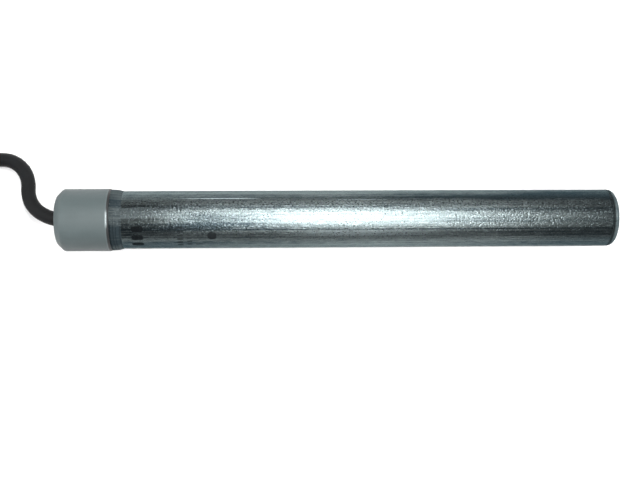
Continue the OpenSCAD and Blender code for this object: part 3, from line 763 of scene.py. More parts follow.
class Finishes:
    """Every finish on the heater, each from what the real material is."""

    # Bright drawn stainless, a little cool, with the printed marks on the tube and none on the cup
    tube = DrawnMetal("drawn_stainless_tube", "6c7575", 0.285, 1.0, printed=True)
    # The same metal pressed into a cup: no draw lines, and the dark line of the weld where it meets the tube
    cup = DrawnMetal(
        "pressed_stainless_cup",
        "5c6668",
        0.42,
        1.0,
        line_pitch=2.2,
        glint_share=0.0,
        streaks=(),
        dull_share=0.0,
        arcs=(Arc(240.0, 0.75, 0.75), Arc(242.6, 0.3, 0.4)),
    )
    # Glass-filled grey plastic that hides the light in it, half matt from an eroded mould
    cap = CapPlastic("moulded_grey_cap", "444e4f", 0.62, cloud_colour="3e4849", flow_share=0.5)
    # Soft black moulded rubber: matt, with a faint grain from the mould
    grommet = MouldedPlastic("moulded_black_rubber", "18191a", 0.6, cloud_colour="101112", grain_depth=0.02)
    # Nitrile seal rings: black and a little oily, so half glossy
    seal = MouldedPlastic("moulded_nitrile_rings", "141415", 0.5, cloud_colour="0d0d0e", cloud=3.0)
    # Extruded rubber jacket: near black, with a soft line of light along it and talc in its low places
    lead = ExtrudedRubber("extruded_black_rubber", "08090a", 0.7)
    # Clear silicone wiped over the drawn shoulder: the metal's dark lines show through a dull skin, with painted
    # shade on its flanks, a painted shadow line round it against the cap's rim, and dark arcs where the spatula
    # lifted and where the skin ends
    sealant = DrawnMetal(
        "wiped_clear_silicone",
        "505758",
        0.7,
        1.0,
        glint_share=0.12,
        # The first arc is a painted shadow against the cap's rim
        arcs=(Arc(23.9, 0.45, 0.6), Arc(25.35, 0.2, 0.6), Arc(26.4, 0.22, 0.55), Arc(28.05, 0.3, 0.4)),
        arc_wander=0.9,
        arc_fade=0.9,
        streaks=(
            # Painted shade on the flanks
            Streak(7.3, 6.0, 0.9, crisp=0.8),
            Streak(-7.2, 2.6, 0.62, crisp=0.7),
            Streak(-10.4, 2.8, 0.2),
            # The tube's thin lines, which go on under the skin
            Streak(-10.3, 0.4, 0.3, crisp=0.5),
            Streak(-3.9, 0.24, 0.6, broken=True),
            Streak(4.76, 0.34, 0.6, crisp=0.5),
            Streak(8.27, 0.34, 0.3, crisp=0.5),
            Streak(3.9, 0.26, 0.4, broken=True),
            Streak(0.9, 0.4, 0.4, broken=True),
            Streak(-1.6, 0.3, 0.35, broken=True),
        ),
    )
    # Filled resin poured round the lead: dark brown, smooth and slightly glossy
    potting = MouldedPlastic("cast_brown_resin", "332c24", 0.35, cloud_colour="241f1a", cloud=4.0)
    # Tinned copper: soft bright grey with dull spots
    tinned = WornMetal("tinned_copper", "c9c9c4", 0.35, 1.0)
    # Extruded core insulation in the three mains colours, smooth and half glossy; the earth core's second
    # colour lies in broad patches, as its stripe does when the core twists
    core_brown = MouldedPlastic("extruded_brown_core", "5d3520", 0.4, cloud_colour="4d2b1a", cloud=3.0)
    core_blue = MouldedPlastic("extruded_blue_core", "2a5ba8", 0.4, cloud_colour="234e92", cloud=3.0)
    core_green = MouldedPlastic("extruded_green_core", "5f8a1f", 0.4, cloud_colour="c9b91f", cloud=6.0)
    # Pressed fibre board: tan, matt and papery, with darker fibres
    fibre = LayeredSheet("pressed_fibre_board", "a8825c", 0.7, flake=0.9, flake_colour="8f6c4a", sheen=0.1)
    # Pressed mica: silvery tan flakes with a pearly shine
    mica = LayeredSheet("pressed_mica", "8f8060", 0.35, flake=1.8, flake_colour="b9a877", sheen=0.25)
    # Rolled brass strip: warm yellow with rolling lines and brown spots
    brass = WornMetal("rolled_brass_strip", "d9b96a", 0.3, 1.0, spot_colour="7a5a2b")
    # Fired steatite: cream, matt, with a sandy skin from the kiln
    ceramic = FiredMineral("fired_steatite", "e4dccd", 0.55, patch_colour="d3c8b4")
    # Silver contact rivets: white metal with small grey tarnish spots
    silver = WornMetal("silver_contact_rivet", "dcdcd8", 0.25, 1.0, spot_colour="6b675f", spot=0.6)
    # Turned steel pin: cool grey with fine lines round it
    steel = WornMetal("turned_steel_pin", "9fa1a3", 0.3, 1.0, lines=(3.0, 0.2, 3.0))
    # Rolled bimetal strip: warm grey-brown with violet temper spots
    bimetal = WornMetal("rolled_bimetal_strip", "b49a78", 0.32, 1.0, spot_colour="6d5c78", spot_share=0.4)
    # Nickel chrome resistance wire after its first heat: dark, dull oxide
    resistance = WornMetal("oxidised_nickel_chrome", "6d6a66", 0.5, 1.0, spot_colour="35332f", spot=0.8)
    # Braided glass sleeve: off-white threads with a silky shine
    glass_braid = Braid("braided_glass_sleeve", "e6e2d6", 0.7, thread=0.45, gap_colour="a9a493")
    # Magnesia powder packed hard: chalky and quite matt
    powder = FiredMineral("packed_magnesia", "cfc6b4", 0.9, patch_colour="bfb5a1", grit=0.3)
    # Ceramic wool pad: white and fluffy, with a coarse soft grain
    wool = FiredMineral("ceramic_wool_pad", "eceae4", 0.95, patch_colour="dedbd2", grit=0.9, grit_depth=0.2)
    # Woven hook strap: dark grey yarn with black gaps, and matt
    strap = Braid("woven_hook_strap", "26272a", 0.85, thread=0.7, gap_colour="0c0c0d", on_own_map=True)
    # Moulded plug plastic: black from a spark-eroded mould, with a visible fine grain
    plug = MouldedPlastic(
        "moulded_black_plug", "1c1d1f", 0.5, cloud_colour="151617", grain=0.5, grain_depth=0.03, cloud=9.0
    )
    # Nickel on brass: bright and slightly yellow, with turning lines
    nickel = WornMetal("nickel_plated_brass", "cfcdc6", 0.28, 1.0, spot_colour="8b7d5e", lines=(0.3, 2.5, 2.5))
    # White paper, matt and even
    paper = StudioPaper("white_background_paper", "f4f4f4", 0.9)


# ---------------------------------------------------------------------------------------------------
# Modelling helpers


def deselect_all() -> None:
    """Leaves nothing selected, so that an operator acts on the new primitive only."""
    if bpy.context.object is not None and bpy.context.object.mode != "OBJECT":
        bpy.ops.object.mode_set(mode="OBJECT")
    bpy.ops.object.select_all(action="DESELECT")


def settle(name: str) -> bpy.types.Object:
    """Names the active primitive and moves its place and turn into its mesh.

    Args:
        name: The piece's name.

    Returns:
        The piece, at the origin, unturned and unscaled.
    """
    piece = bpy.context.object
    piece.name = piece.data.name = name
    bpy.ops.object.transform_apply(location=True, rotation=True, scale=True)
    return piece


def apply_modifier(piece: bpy.types.Object, kind: str, **settings: object) -> None:
    """Adds a modifier to the active piece and applies it.

    Args:
        piece: The piece, which is the active object.
        kind: Blender's name of the modifier.
        settings: The modifier's settings.
    """
    bpy.context.view_layer.objects.active = piece
    modifier = piece.modifiers.new(kind.lower(), kind)
    for name, value in settings.items():
        setattr(modifier, name, value)
    bpy.ops.object.modifier_apply(modifier=modifier.name)


def soften_edges(piece: bpy.types.Object, width: float, segments: int, angle: float) -> None:
    """Rounds a piece's sharp edges.

    Args:
        piece: The piece.
        width: The rounding's width in millimetres.
        segments: How many steps it has.
        angle: The least angle between two faces that is rounded, in degrees.
    """
    apply_modifier(
        piece,
        "BEVEL",
        width=width * MM,
        segments=segments,
        limit_method="ANGLE",
        angle_limit=math.radians(angle),
        harden_normals=False,
    )


def select_parts(piece: bpy.types.Object, kind: str, wanted: Callable[[object], bool]) -> None:
    """Selects some of a piece's edges or faces and leaves it in edit mode.

    Args:
        piece: The active piece.
        kind: EDGE or FACE.
        wanted: Says of an edge or a face whether it is selected.
    """
    bpy.ops.object.mode_set(mode="EDIT")
    bpy.ops.mesh.select_mode(type=kind)
    bpy.ops.mesh.select_all(action="DESELECT")
    bpy.ops.object.mode_set(mode="OBJECT")
    for part in piece.data.edges if kind == "EDGE" else piece.data.polygons:
        part.select = wanted(part)
    bpy.ops.object.mode_set(mode="EDIT")


def round_corners(
    piece: bpy.types.Object, wanted: Callable[[Vector, Vector], bool], width: float, segments: int
) -> None:
    """Rounds only those edges of a piece that pass a test.

    Args:
        piece: The piece.
        wanted: Says of an edge's two ends whether the edge is rounded.
        width: The rounding's width in millimetres.
        segments: How many steps it has.
    """
    select_parts(piece, "EDGE", lambda edge: wanted(*(piece.data.vertices[v].co for v in edge.vertices)))
    bpy.ops.mesh.bevel(offset=width * MM, segments=segments, affect="EDGES")
    bpy.ops.object.mode_set(mode="OBJECT")


def open_ends(piece: bpy.types.Object) -> None:
    """Takes away the faces of a piece that look along X, so that it is open from end to end.

    Args:
        piece: The active piece.
    """
    select_parts(piece, "FACE", lambda face: abs(face.normal.x) > 0.5)
    bpy.ops.mesh.delete(type="FACE")
    bpy.ops.object.mode_set(mode="OBJECT")


def smooth_faces(piece: bpy.types.Object, angle: float) -> None:
    """Shades a piece smooth, with its sharp edges kept.

    Args:
        piece: The piece.
        angle: The angle between two faces from which their edge stays sharp, in degrees.
    """
    deselect_all()
    piece.select_set(True)
    bpy.context.view_layer.objects.active = piece
    bpy.ops.object.shade_smooth_by_angle(angle=math.radians(angle))


def turn_on_lathe(name: str, profile: Profile, centre: tuple[float, float], sides: int) -> bpy.types.Object:
    """Turns a profile round an axis that runs along X, ring by ring.

    Args:
        name: The piece's name.
        profile: Places along X and radii in millimetres. A profile that ends where it starts is a closed
            wall, and any other is closed with a face at each open end.
        centre: The axis's Y and Z in millimetres.
        sides: How many faces go round it.

    Returns:
        The piece, closed, with its faces outwards.
    """
    deselect_all()
    first_x, first_r = profile[0]
    bpy.ops.mesh.primitive_circle_add(
        vertices=sides,
        radius=first_r * MM,
        location=(first_x * MM, centre[0] * MM, centre[1] * MM),
        rotation=(0, math.pi / 2, 0),
    )
    piece = settle(name)
    bpy.ops.object.mode_set(mode="EDIT")
    bpy.ops.mesh.select_all(action="SELECT")
    for (x0, r0), (x1, r1) in pairwise(profile):
        bpy.ops.mesh.extrude_region_move(TRANSFORM_OT_translate={"value": ((x1 - x0) * MM, 0, 0)})
        if r1 != r0:
            middle = (x1 * MM, centre[0] * MM, centre[1] * MM)
            bpy.ops.transform.resize(value=(1, r1 / r0, r1 / r0), center_override=middle)
    bpy.ops.mesh.select_all(action="SELECT")
    bpy.ops.mesh.remove_doubles(threshold=MERGE_WITHIN * MM)
    bpy.ops.mesh.select_all(action="DESELECT")
    bpy.ops.mesh.select_non_manifold()
    bpy.ops.mesh.fill_holes(sides=0)
    bpy.ops.mesh.select_all(action="SELECT")
    bpy.ops.mesh.normals_make_consistent(inside=False)
    bpy.ops.object.mode_set(mode="OBJECT")
    return piece


def rounded(
    before: Sequence[float], corner: Sequence[float], after: Sequence[float], reach: float, steps: int = 5
) -> Profile:
    """Rounds one corner of a profile.

    Args:
        before: The profile's point before the corner.
        corner: The corner.
        after: The point after it.
        reach: How far from the corner the rounding starts and ends, in millimetres.
        steps: How many steps it has.

    Returns:
        The points that replace the corner.
    """
    place = Vector(corner)
    start = place + (Vector(before) - place).normalized() * reach
    end = place + (Vector(after) - place).normalized() * reach
    shares = [n / steps for n in range(steps + 1)]
    return [tuple(start * (1 - f) ** 2 + place * 2 * f * (1 - f) + end * f**2) for f in shares]


def unroll(piece: bpy.types.Object, start_x: float, centre: tuple[float, float]) -> None:
    """Gives a turned piece its own map: millimetres along the axis, and round it from the top line.

    Args:
        piece: The piece, turned round an axis along X.
        start_x: The place along X that counts as 0, in millimetres.
        centre: The axis's Y and Z in millimetres.
    """
    mesh = piece.data
    radius = max(math.hypot(v.co.y / MM - centre[0], v.co.z / MM - centre[1]) for v in mesh.vertices)
    layer = mesh.uv_layers.new(name=UNROLLED)
    for face in mesh.polygons:
        middle = round_angle(face.center, centre)
        for loop in face.loop_indices:
            point = mesh.vertices[mesh.loops[loop].vertex_index].co
            angle = round_angle(point, centre)
            angle += 2 * math.pi * round((middle - angle) / (2 * math.pi))
            layer.data[loop].uv = (point.x / MM - start_x, angle * radius)


def round_angle(point: Vector, centre: tuple[float, float]) -> float:
    """Gives a point's angle round an axis along X.

    Args:
        point: The point, in metres.
        centre: The axis's Y and Z in millimetres.

    Returns:
        The angle in radians, 0 at the top line and growing towards the front.
    """
    return math.atan2(centre[0] - point.y / MM, point.z / MM - centre[1])


def add_box(name: str, low: Point, high: Point) -> bpy.types.Object:
    """Adds a box between two corners.

    Args:
        name: The piece's name.
        low: Its lowest corner in millimetres.
        high: Its highest corner in millimetres.

    Returns:
        The box, at the origin, with its place in its mesh.
    """
    deselect_all()
    middle = tuple((a + b) / 2 * MM for a, b in zip(low, high))
    bpy.ops.mesh.primitive_cube_add(size=1, location=middle)
    bpy.context.object.scale = tuple((b - a) * MM for a, b in zip(low, high))
    return settle(name)


def cut_away(piece: bpy.types.Object, tool: bpy.types.Object) -> None:
    """Cuts a piece with a tool body and removes the tool.

    Args:
        piece: The piece that stays.
        tool: The body that cuts it.
    """
    deselect_all()
    piece.select_set(True)
    apply_modifier(piece, "BOOLEAN", object=tool, operation="DIFFERENCE", solver="EXACT")
    bpy.data.objects.remove(tool, do_unlink=True)


def settle_order(piece: bpy.types.Object, nearest: float) -> None:
    """Merges a cut or rounded piece's doubled points and gives its points, edges and faces a fixed order.

    A cut leaves them in an order that changes from run to run, and a rounding after it would change too.

    Args:
        piece: The piece.
        nearest: Points nearer to each other than this, in millimetres, are merged.
    """
    bpy.context.view_layer.objects.active = piece
    cursor = bpy.context.scene.cursor
    cursor.location = SORTING_PLACE
    sort = partial(bpy.ops.mesh.sort_elements, type="CURSOR_DISTANCE", elements={"VERT", "EDGE", "FACE"})
    bpy.ops.object.mode_set(mode="EDIT")
    bpy.ops.mesh.select_all(action="SELECT")
    sort()
    bpy.ops.mesh.remove_doubles(threshold=nearest * MM)
    sort()
    bpy.ops.object.mode_set(mode="OBJECT")
    cursor.location = (0.0, 0.0, 0.0)


def join_pieces(parts: Sequence[bpy.types.Object]) -> bpy.types.Object:
    """Joins several meshes into one piece.

    Args:
        parts: The meshes.

    Returns:
        The first, which now holds them all.
    """
    deselect_all()
    for part in parts:
        part.select_set(True)
    bpy.context.view_layer.objects.active = parts[0]
    bpy.ops.object.join()
    return parts[0]


def finish_piece(piece: bpy.types.Object, finish: Finish, replaces: Sequence[str]) -> None:
    """Gives a new piece its material and the heater's body, and hides the frame's nodes that it stands for.

    Args:
        piece: The new piece.
        finish: Its finish.
        replaces: The frame's nodes that the piece stands for.
    """
    piece.data.materials.clear()
    piece.data.materials.append(finish.material())
    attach(piece, HEATER_BODY)
    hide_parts(*replaces)
    LOG.info("%s: %s, for %s", piece.name, finish.name, ", ".join(replaces))


# ---------------------------------------------------------------------------------------------------
# Sub-assemblies


@dataclass
class MainsLead:
    """The round rubber lead: out of the cap, down to the floor, through the hank and back to the plug."""

    diameter: float = 6.2
    # The air between one loop of the hank and the next
    layer_gap: float = 0.5
    # The radius of the folds at its ends, and how much wider every second loop lies
    fold_r: float = 18.6
    fold_growth: float = 1.2
    # The straight runs between the folds, and the steps that runs and folds are laid in
    run: float = 120.0
    run_steps: int = 5
    fold_steps: int = 7
    full_loops: int = 3
    # The strap draws the runs together over this share of their length and lifts them by this much
    waist_share: float = 0.4
    waist_lift: float = 1.0
    # Half the air that is left between two runs there
    waist_air: float = 0.3
    # How far the lead sags in the fold that climbs to the next loop
    fold_droop: float = 3.0
    # The distance between two rings of the jacket's mesh, and Blender's count for their sides
    step: float = 2.0
    ring_sides: int = 9
    # How far the lead has gone from the cap's end face, to the back, and up from the heater's axis
    leaving: tuple[Point, ...] = (
        (-23, 0, 0),
        (-12, 0, 0),
        (-2, 0, 0),
        (2.3, 0.8, 0),
        (5.1, 1.8, -0.1),
        (9, 4.1, -0.7),
        (11.9, 7.6, -1.7),
        (13.4, 11.8, -3),
        (13.7, 16.3, -4.5),
        (15.3, 20.6, -6.1),
        (18.2, 24, -7.6),
        (22.2, 26.3, -8.9),
        (26.6, 27, -9.8),
        (32, 27, -10.4),
        (38, 27, -10.4),
        (44, 27, -10.4),
        (49.3, 27, -10.4),
    )
    # How far it has gone from the hank's last waist, to the back, and up, on its way into the plug
    returning: tuple[Point, ...] = (
        (3, 0, 0),
        (7, -0.6, 0),
        (11, -2.2, 0),
        (15, -4.4, 0),
        (20, -7, -0.7),
        (25, -9.7, -2.1),
        (30, -12.3, -3.7),
        (35, -14.4, -5.3),
        (40, -15.7, -6.4),
        (43.8, -16, -6.7),
        (54.8, -16, -6.7),
        (65.8, -16, -6.7),
    )
    curve_steps: int = 16
    centre: list[Vector] = field(default_factory=list, init=False)
    piece: bpy.types.Object | None = field(default=None, init=False)

    @property
    def radius(self) -> float:
        """Gives the lead's radius."""
        return self.diameter / 2

    @property
    def layer(self) -> float:
        """Gives the rise from one loop of the hank to the next."""
        return self.diameter + self.layer_gap

    @property
    def hank_right(self) -> float:
        """Gives the end of the hank's runs on the cap's side."""
        return CAP_FACE_X - self.leaving[-1][0] - self.diameter

    @property
    def hank_middle(self) -> float:
        """Gives the middle of the hank's runs, where the strap holds it."""
        return self.hank_right - self.run / 2

    @property
    def hank_y(self) -> float:
        """Gives the hank's middle line."""
        return self.leaving[-1][1] - self.fold_r - self.fold_growth

    @property
    def waist_draw(self) -> float:
        """Gives how far the strap draws each run inwards, so that two runs nearly touch."""
        return self.fold_r - self.radius - self.waist_air

    @property
    def exit(self) -> Vector:
        """Gives the point where the lead leaves the cap's end face, in metres."""
        return Vector((CAP_FACE_X, 0, AXIS_HEIGHT)) * MM

    def hank_point(self, number: int) -> Vector:
        """Gives one of the hank's points.

        Args:
            number: Which point, from 0 at the hank's start on the floor.

        Returns:
            The point in millimetres.
        """
        half = self.run_steps + self.fold_steps
        turn, step = divmod(number, 2 * half)
        r = self.fold_r + self.fold_growth * abs(1 - number / (2 * half) % 2)
        floor = self.radius + self.layer * turn
        back = step >= half
        step -= half if back else 0
        if step < self.run_steps:
            f = step / self.run_steps
            waist = self.ease(min(1.0, min(f, 1 - f) / self.waist_share))
            lift = self.waist_lift * waist
            if back:
                left = self.hank_right - self.run
                y = self.hank_y - r + self.waist_draw * waist
                return Vector((left + f * self.run, y, floor + self.layer * self.ease(f) + lift))
            return Vector((self.hank_right - f * self.run, self.hank_y + r - self.waist_draw * waist, floor + lift))
        angle = math.pi * (step - self.run_steps) / self.fold_steps
        if back:
            z = floor + self.layer - self.fold_droop * math.sin(angle) ** 2
            return Vector((self.hank_right + r * math.sin(angle), self.hank_y - r * math.cos(angle), z))
        left = self.hank_right - self.run
        return Vector((left - r * math.sin(angle), self.hank_y + r * math.cos(angle), floor))

    @staticmethod
    def ease(f: float) -> float:
        """Eases a share from 0 to 1 in and out."""
        return f * f * (3 - 2 * f)

    def route(self) -> list[Vector]:
        """Gives the whole lead's points, from the clamp inside the cap to the plug's terminals.

        Returns:
            The points in millimetres.
        """
        points = [Vector((CAP_FACE_X - out, y, AXIS_HEIGHT + up)) for out, y, up in self.leaving]
        count = self.full_loops * 2 * (self.run_steps + self.fold_steps) + self.run_steps
        points += [self.hank_point(i) for i in range(count + 1)]
        end = points[-1].copy()
        points += [end + Vector((-out, y, up)) for out, y, up in self.returning]
        return points

    def smooth_route(self) -> list[Vector]:
        """Runs one smooth curve through the route and walks along it in even steps.

        Returns:
            Points in metres, about one step apart.
        """
        rough = self.route()
        fine: list[Vector] = []
        for i in range(len(rough) - 1):
            before, here = rough[max(i - 1, 0)], rough[i]
            there, after = rough[i + 1], rough[min(i + 2, len(rough) - 1)]
            shares = (n / self.curve_steps for n in range(self.curve_steps))
            fine += [self.on_curve(before, here, there, after, share) for share in shares]
        fine.append(rough[-1])
        walked, left = [fine[0]], self.step
        for a, b in pairwise(fine):
            length, done = (b - a).length, 0.0
            while length - done >= left:
                done += left
                walked.append(a.lerp(b, done / length))
                left = self.step
            left -= length - done
        # A last short step is left out
        if (walked[-1] - fine[-1]).length > self.step * 0.3:
            walked.append(fine[-1])
        return [p * MM for p in walked]

    @staticmethod
    def on_curve(before: Vector, here: Vector, there: Vector, after: Vector, f: float) -> Vector:
        """Gives a point on the smooth curve between two of four points.

        Args:
            before: The point before the stretch.
            here: The stretch's start.
            there: The stretch's end.
            after: The point after it.
            f: How far along the stretch, from 0 to 1.

        Returns:
            The point, in the units of the four.
        """
        span, least = (there - here).length, 1e-9
        start = (there - before) * (span / max(span + (here - before).length, least))
        end = (after - here) * (span / max((after - there).length + span, least))
        h00, h10 = 2 * f**3 - 3 * f**2 + 1, f**3 - 2 * f**2 + f
        h01, h11 = -2 * f**3 + 3 * f**2, f**3 - f**2
        return here * h00 + start * h10 + there * h01 + end * h11

    def build(self) -> None:
        """Sweeps the round jacket along its route, and gives it its own map."""
        deselect_all()
        self.centre = self.smooth_route()
        curve = bpy.data.curves.new("mains_lead", "CURVE")
        curve.dimensions = "3D"
        line = curve.splines.new("POLY")
        line.points.add(len(self.centre) - 1)
        for place, point in zip(line.points, self.centre):
            place.co = (*point, 1.0)
        curve.bevel_depth = self.radius * MM
        curve.bevel_resolution = self.ring_sides
        curve.use_fill_caps = True
        swept = bpy.data.objects.new("mains_lead", curve)
        bpy.context.collection.objects.link(swept)
        swept.select_set(True)
        bpy.context.view_layer.objects.active = swept
        bpy.ops.object.convert(target="MESH")
        self.piece = bpy.context.object
        smooth_faces(self.piece, angle=60)
        self.map_jacket()

    def map_jacket(self) -> None:
        """Turns the swept tube's own map into millimetres along the jacket and round it."""
        layer = self.piece.data.uv_layers[0]
        layer.name = UNROLLED
        length = self.length / MM
        for place in layer.data:
            across, far = place.uv
            place.uv = (far * length, across * math.pi * self.diameter)

    @property
    def length(self) -> float:
        """Gives the free lead's length from the cap's end face, in metres."""
        return sum((b - a).length for a, b in pairwise(self.centre))

    def dress(self, pieces: Sequence[bpy.types.Object]) -> None:
        """Args:
            pieces: The separate pieces on it. Not used.
        """
        finish_piece(self.piece, Finishes.lead, ("cord_run", "cord_hank", "cord_tail"))
        round(self.length, 3)


@dataclass
class HankStrap:
    """The woven strap that holds the hank at its waist, with its free end pressed onto its front side."""

    middle_x: float
    middle_y: float
    width: float = 10.0
    thickness: float = 0.9
    half_inside: float = 7.9
    height: float = 28.4
    corner: float = 4.2
    lap: float = 11.0
    # The free end's top is this far below the loop's, and it stands this far out of the loop's side
    lap_below: float = 5.2
    lap_stands: float = 0.62
    lap_sinks: float = 0.05
    lap_corner: float = 2.4
    give: float = 0.22
    give_pitch: float = 6.7
    give_margin: float = 4.0
    piece: bpy.types.Object | None = field(default=None, init=False)

    def build(self) -> None:
        """Bends the strap into its loop and presses its free end onto the side."""
        half = self.half_inside + self.thickness
        band = add_box(
            "hank_strap",
            (self.middle_x - self.width / 2, self.middle_y - half, 0.0),
            (self.middle_x + self.width / 2, self.middle_y + half, self.height),
        )
        round_corners(band, lambda a, b: abs(a.x - b.x) > self.width / 2 * MM, self.corner, segments=6)
        open_ends(band)
        bpy.ops.object.mode_set(mode="EDIT")
        bpy.ops.mesh.select_all(action="SELECT")
        bpy.ops.mesh.subdivide(number_cuts=3)
        bpy.ops.mesh.normals_make_consistent(inside=False)
        bpy.ops.object.mode_set(mode="OBJECT")
        self.crumple(band)
        self.map_weave(band)
        apply_modifier(band, "SOLIDIFY", thickness=self.thickness * MM, offset=-1.0, use_even_offset=True)
        join_pieces([band, self.free_end()])
        soften_edges(band, width=0.18, segments=2, angle=50)
        smooth_faces(band, angle=40)
        self.piece = band

    def crumple(self, band: bpy.types.Object) -> None:
        """Lets the strap's flat sides give a little between the turns of the lead.

        Args:
            band: The strap before it gets its thickness.
        """
        for vertex in band.data.vertices:
            y = vertex.co.y / MM - self.middle_y
            z = vertex.co.z / MM
            on_side = abs(y) > self.half_inside - 0.5
            if on_side and self.give_margin < z < self.height - self.give_margin:
                turn = 2 * math.pi * (z - self.give_margin) / self.give_pitch
                vertex.co.y -= math.copysign(self.give * (1 + math.cos(turn)) / 2, y) * MM

    def map_weave(self, piece: bpy.types.Object) -> None:
        """Gives the strap its own map: millimetres across the weave and along it.

        Args:
            piece: The strap before it gets its thickness.
        """
        layer = piece.data.uv_layers.new(name=UNROLLED)
        for face in piece.data.polygons:
            on_side = abs(face.normal.y) > abs(face.normal.z)
            for loop in face.loop_indices:
                point = piece.data.vertices[piece.data.loops[loop].vertex_index].co
                layer.data[loop].uv = (point.x / MM, (point.z if on_side else point.y) / MM)

    def free_end(self) -> bpy.types.Object:
        """Makes the strap's rounded free end, pressed onto the side of the loop.

        Returns:
            The free end, a thin tab.
        """
        side = self.middle_y - self.half_inside - self.thickness
        top = self.height - self.lap_below
        low = top - self.lap
        tab = add_box(
            "strap_end",
            (self.middle_x - self.width / 2, side - self.lap_stands, low),
            (self.middle_x + self.width / 2, side + self.lap_sinks, top),
        )
        half = self.lap_stands / 2 * MM
        reach = (low + 0.1) * MM
        round_corners(tab, lambda a, b: max(a.z, b.z) < reach and abs(a.y - b.y) > half, self.lap_corner, segments=5)
        self.map_weave(tab)
        return tab

    def dress(self) -> None:
        """Gives the strap its woven finish."""
        finish_piece(self.piece, Finishes.strap, ("hank_tie",))


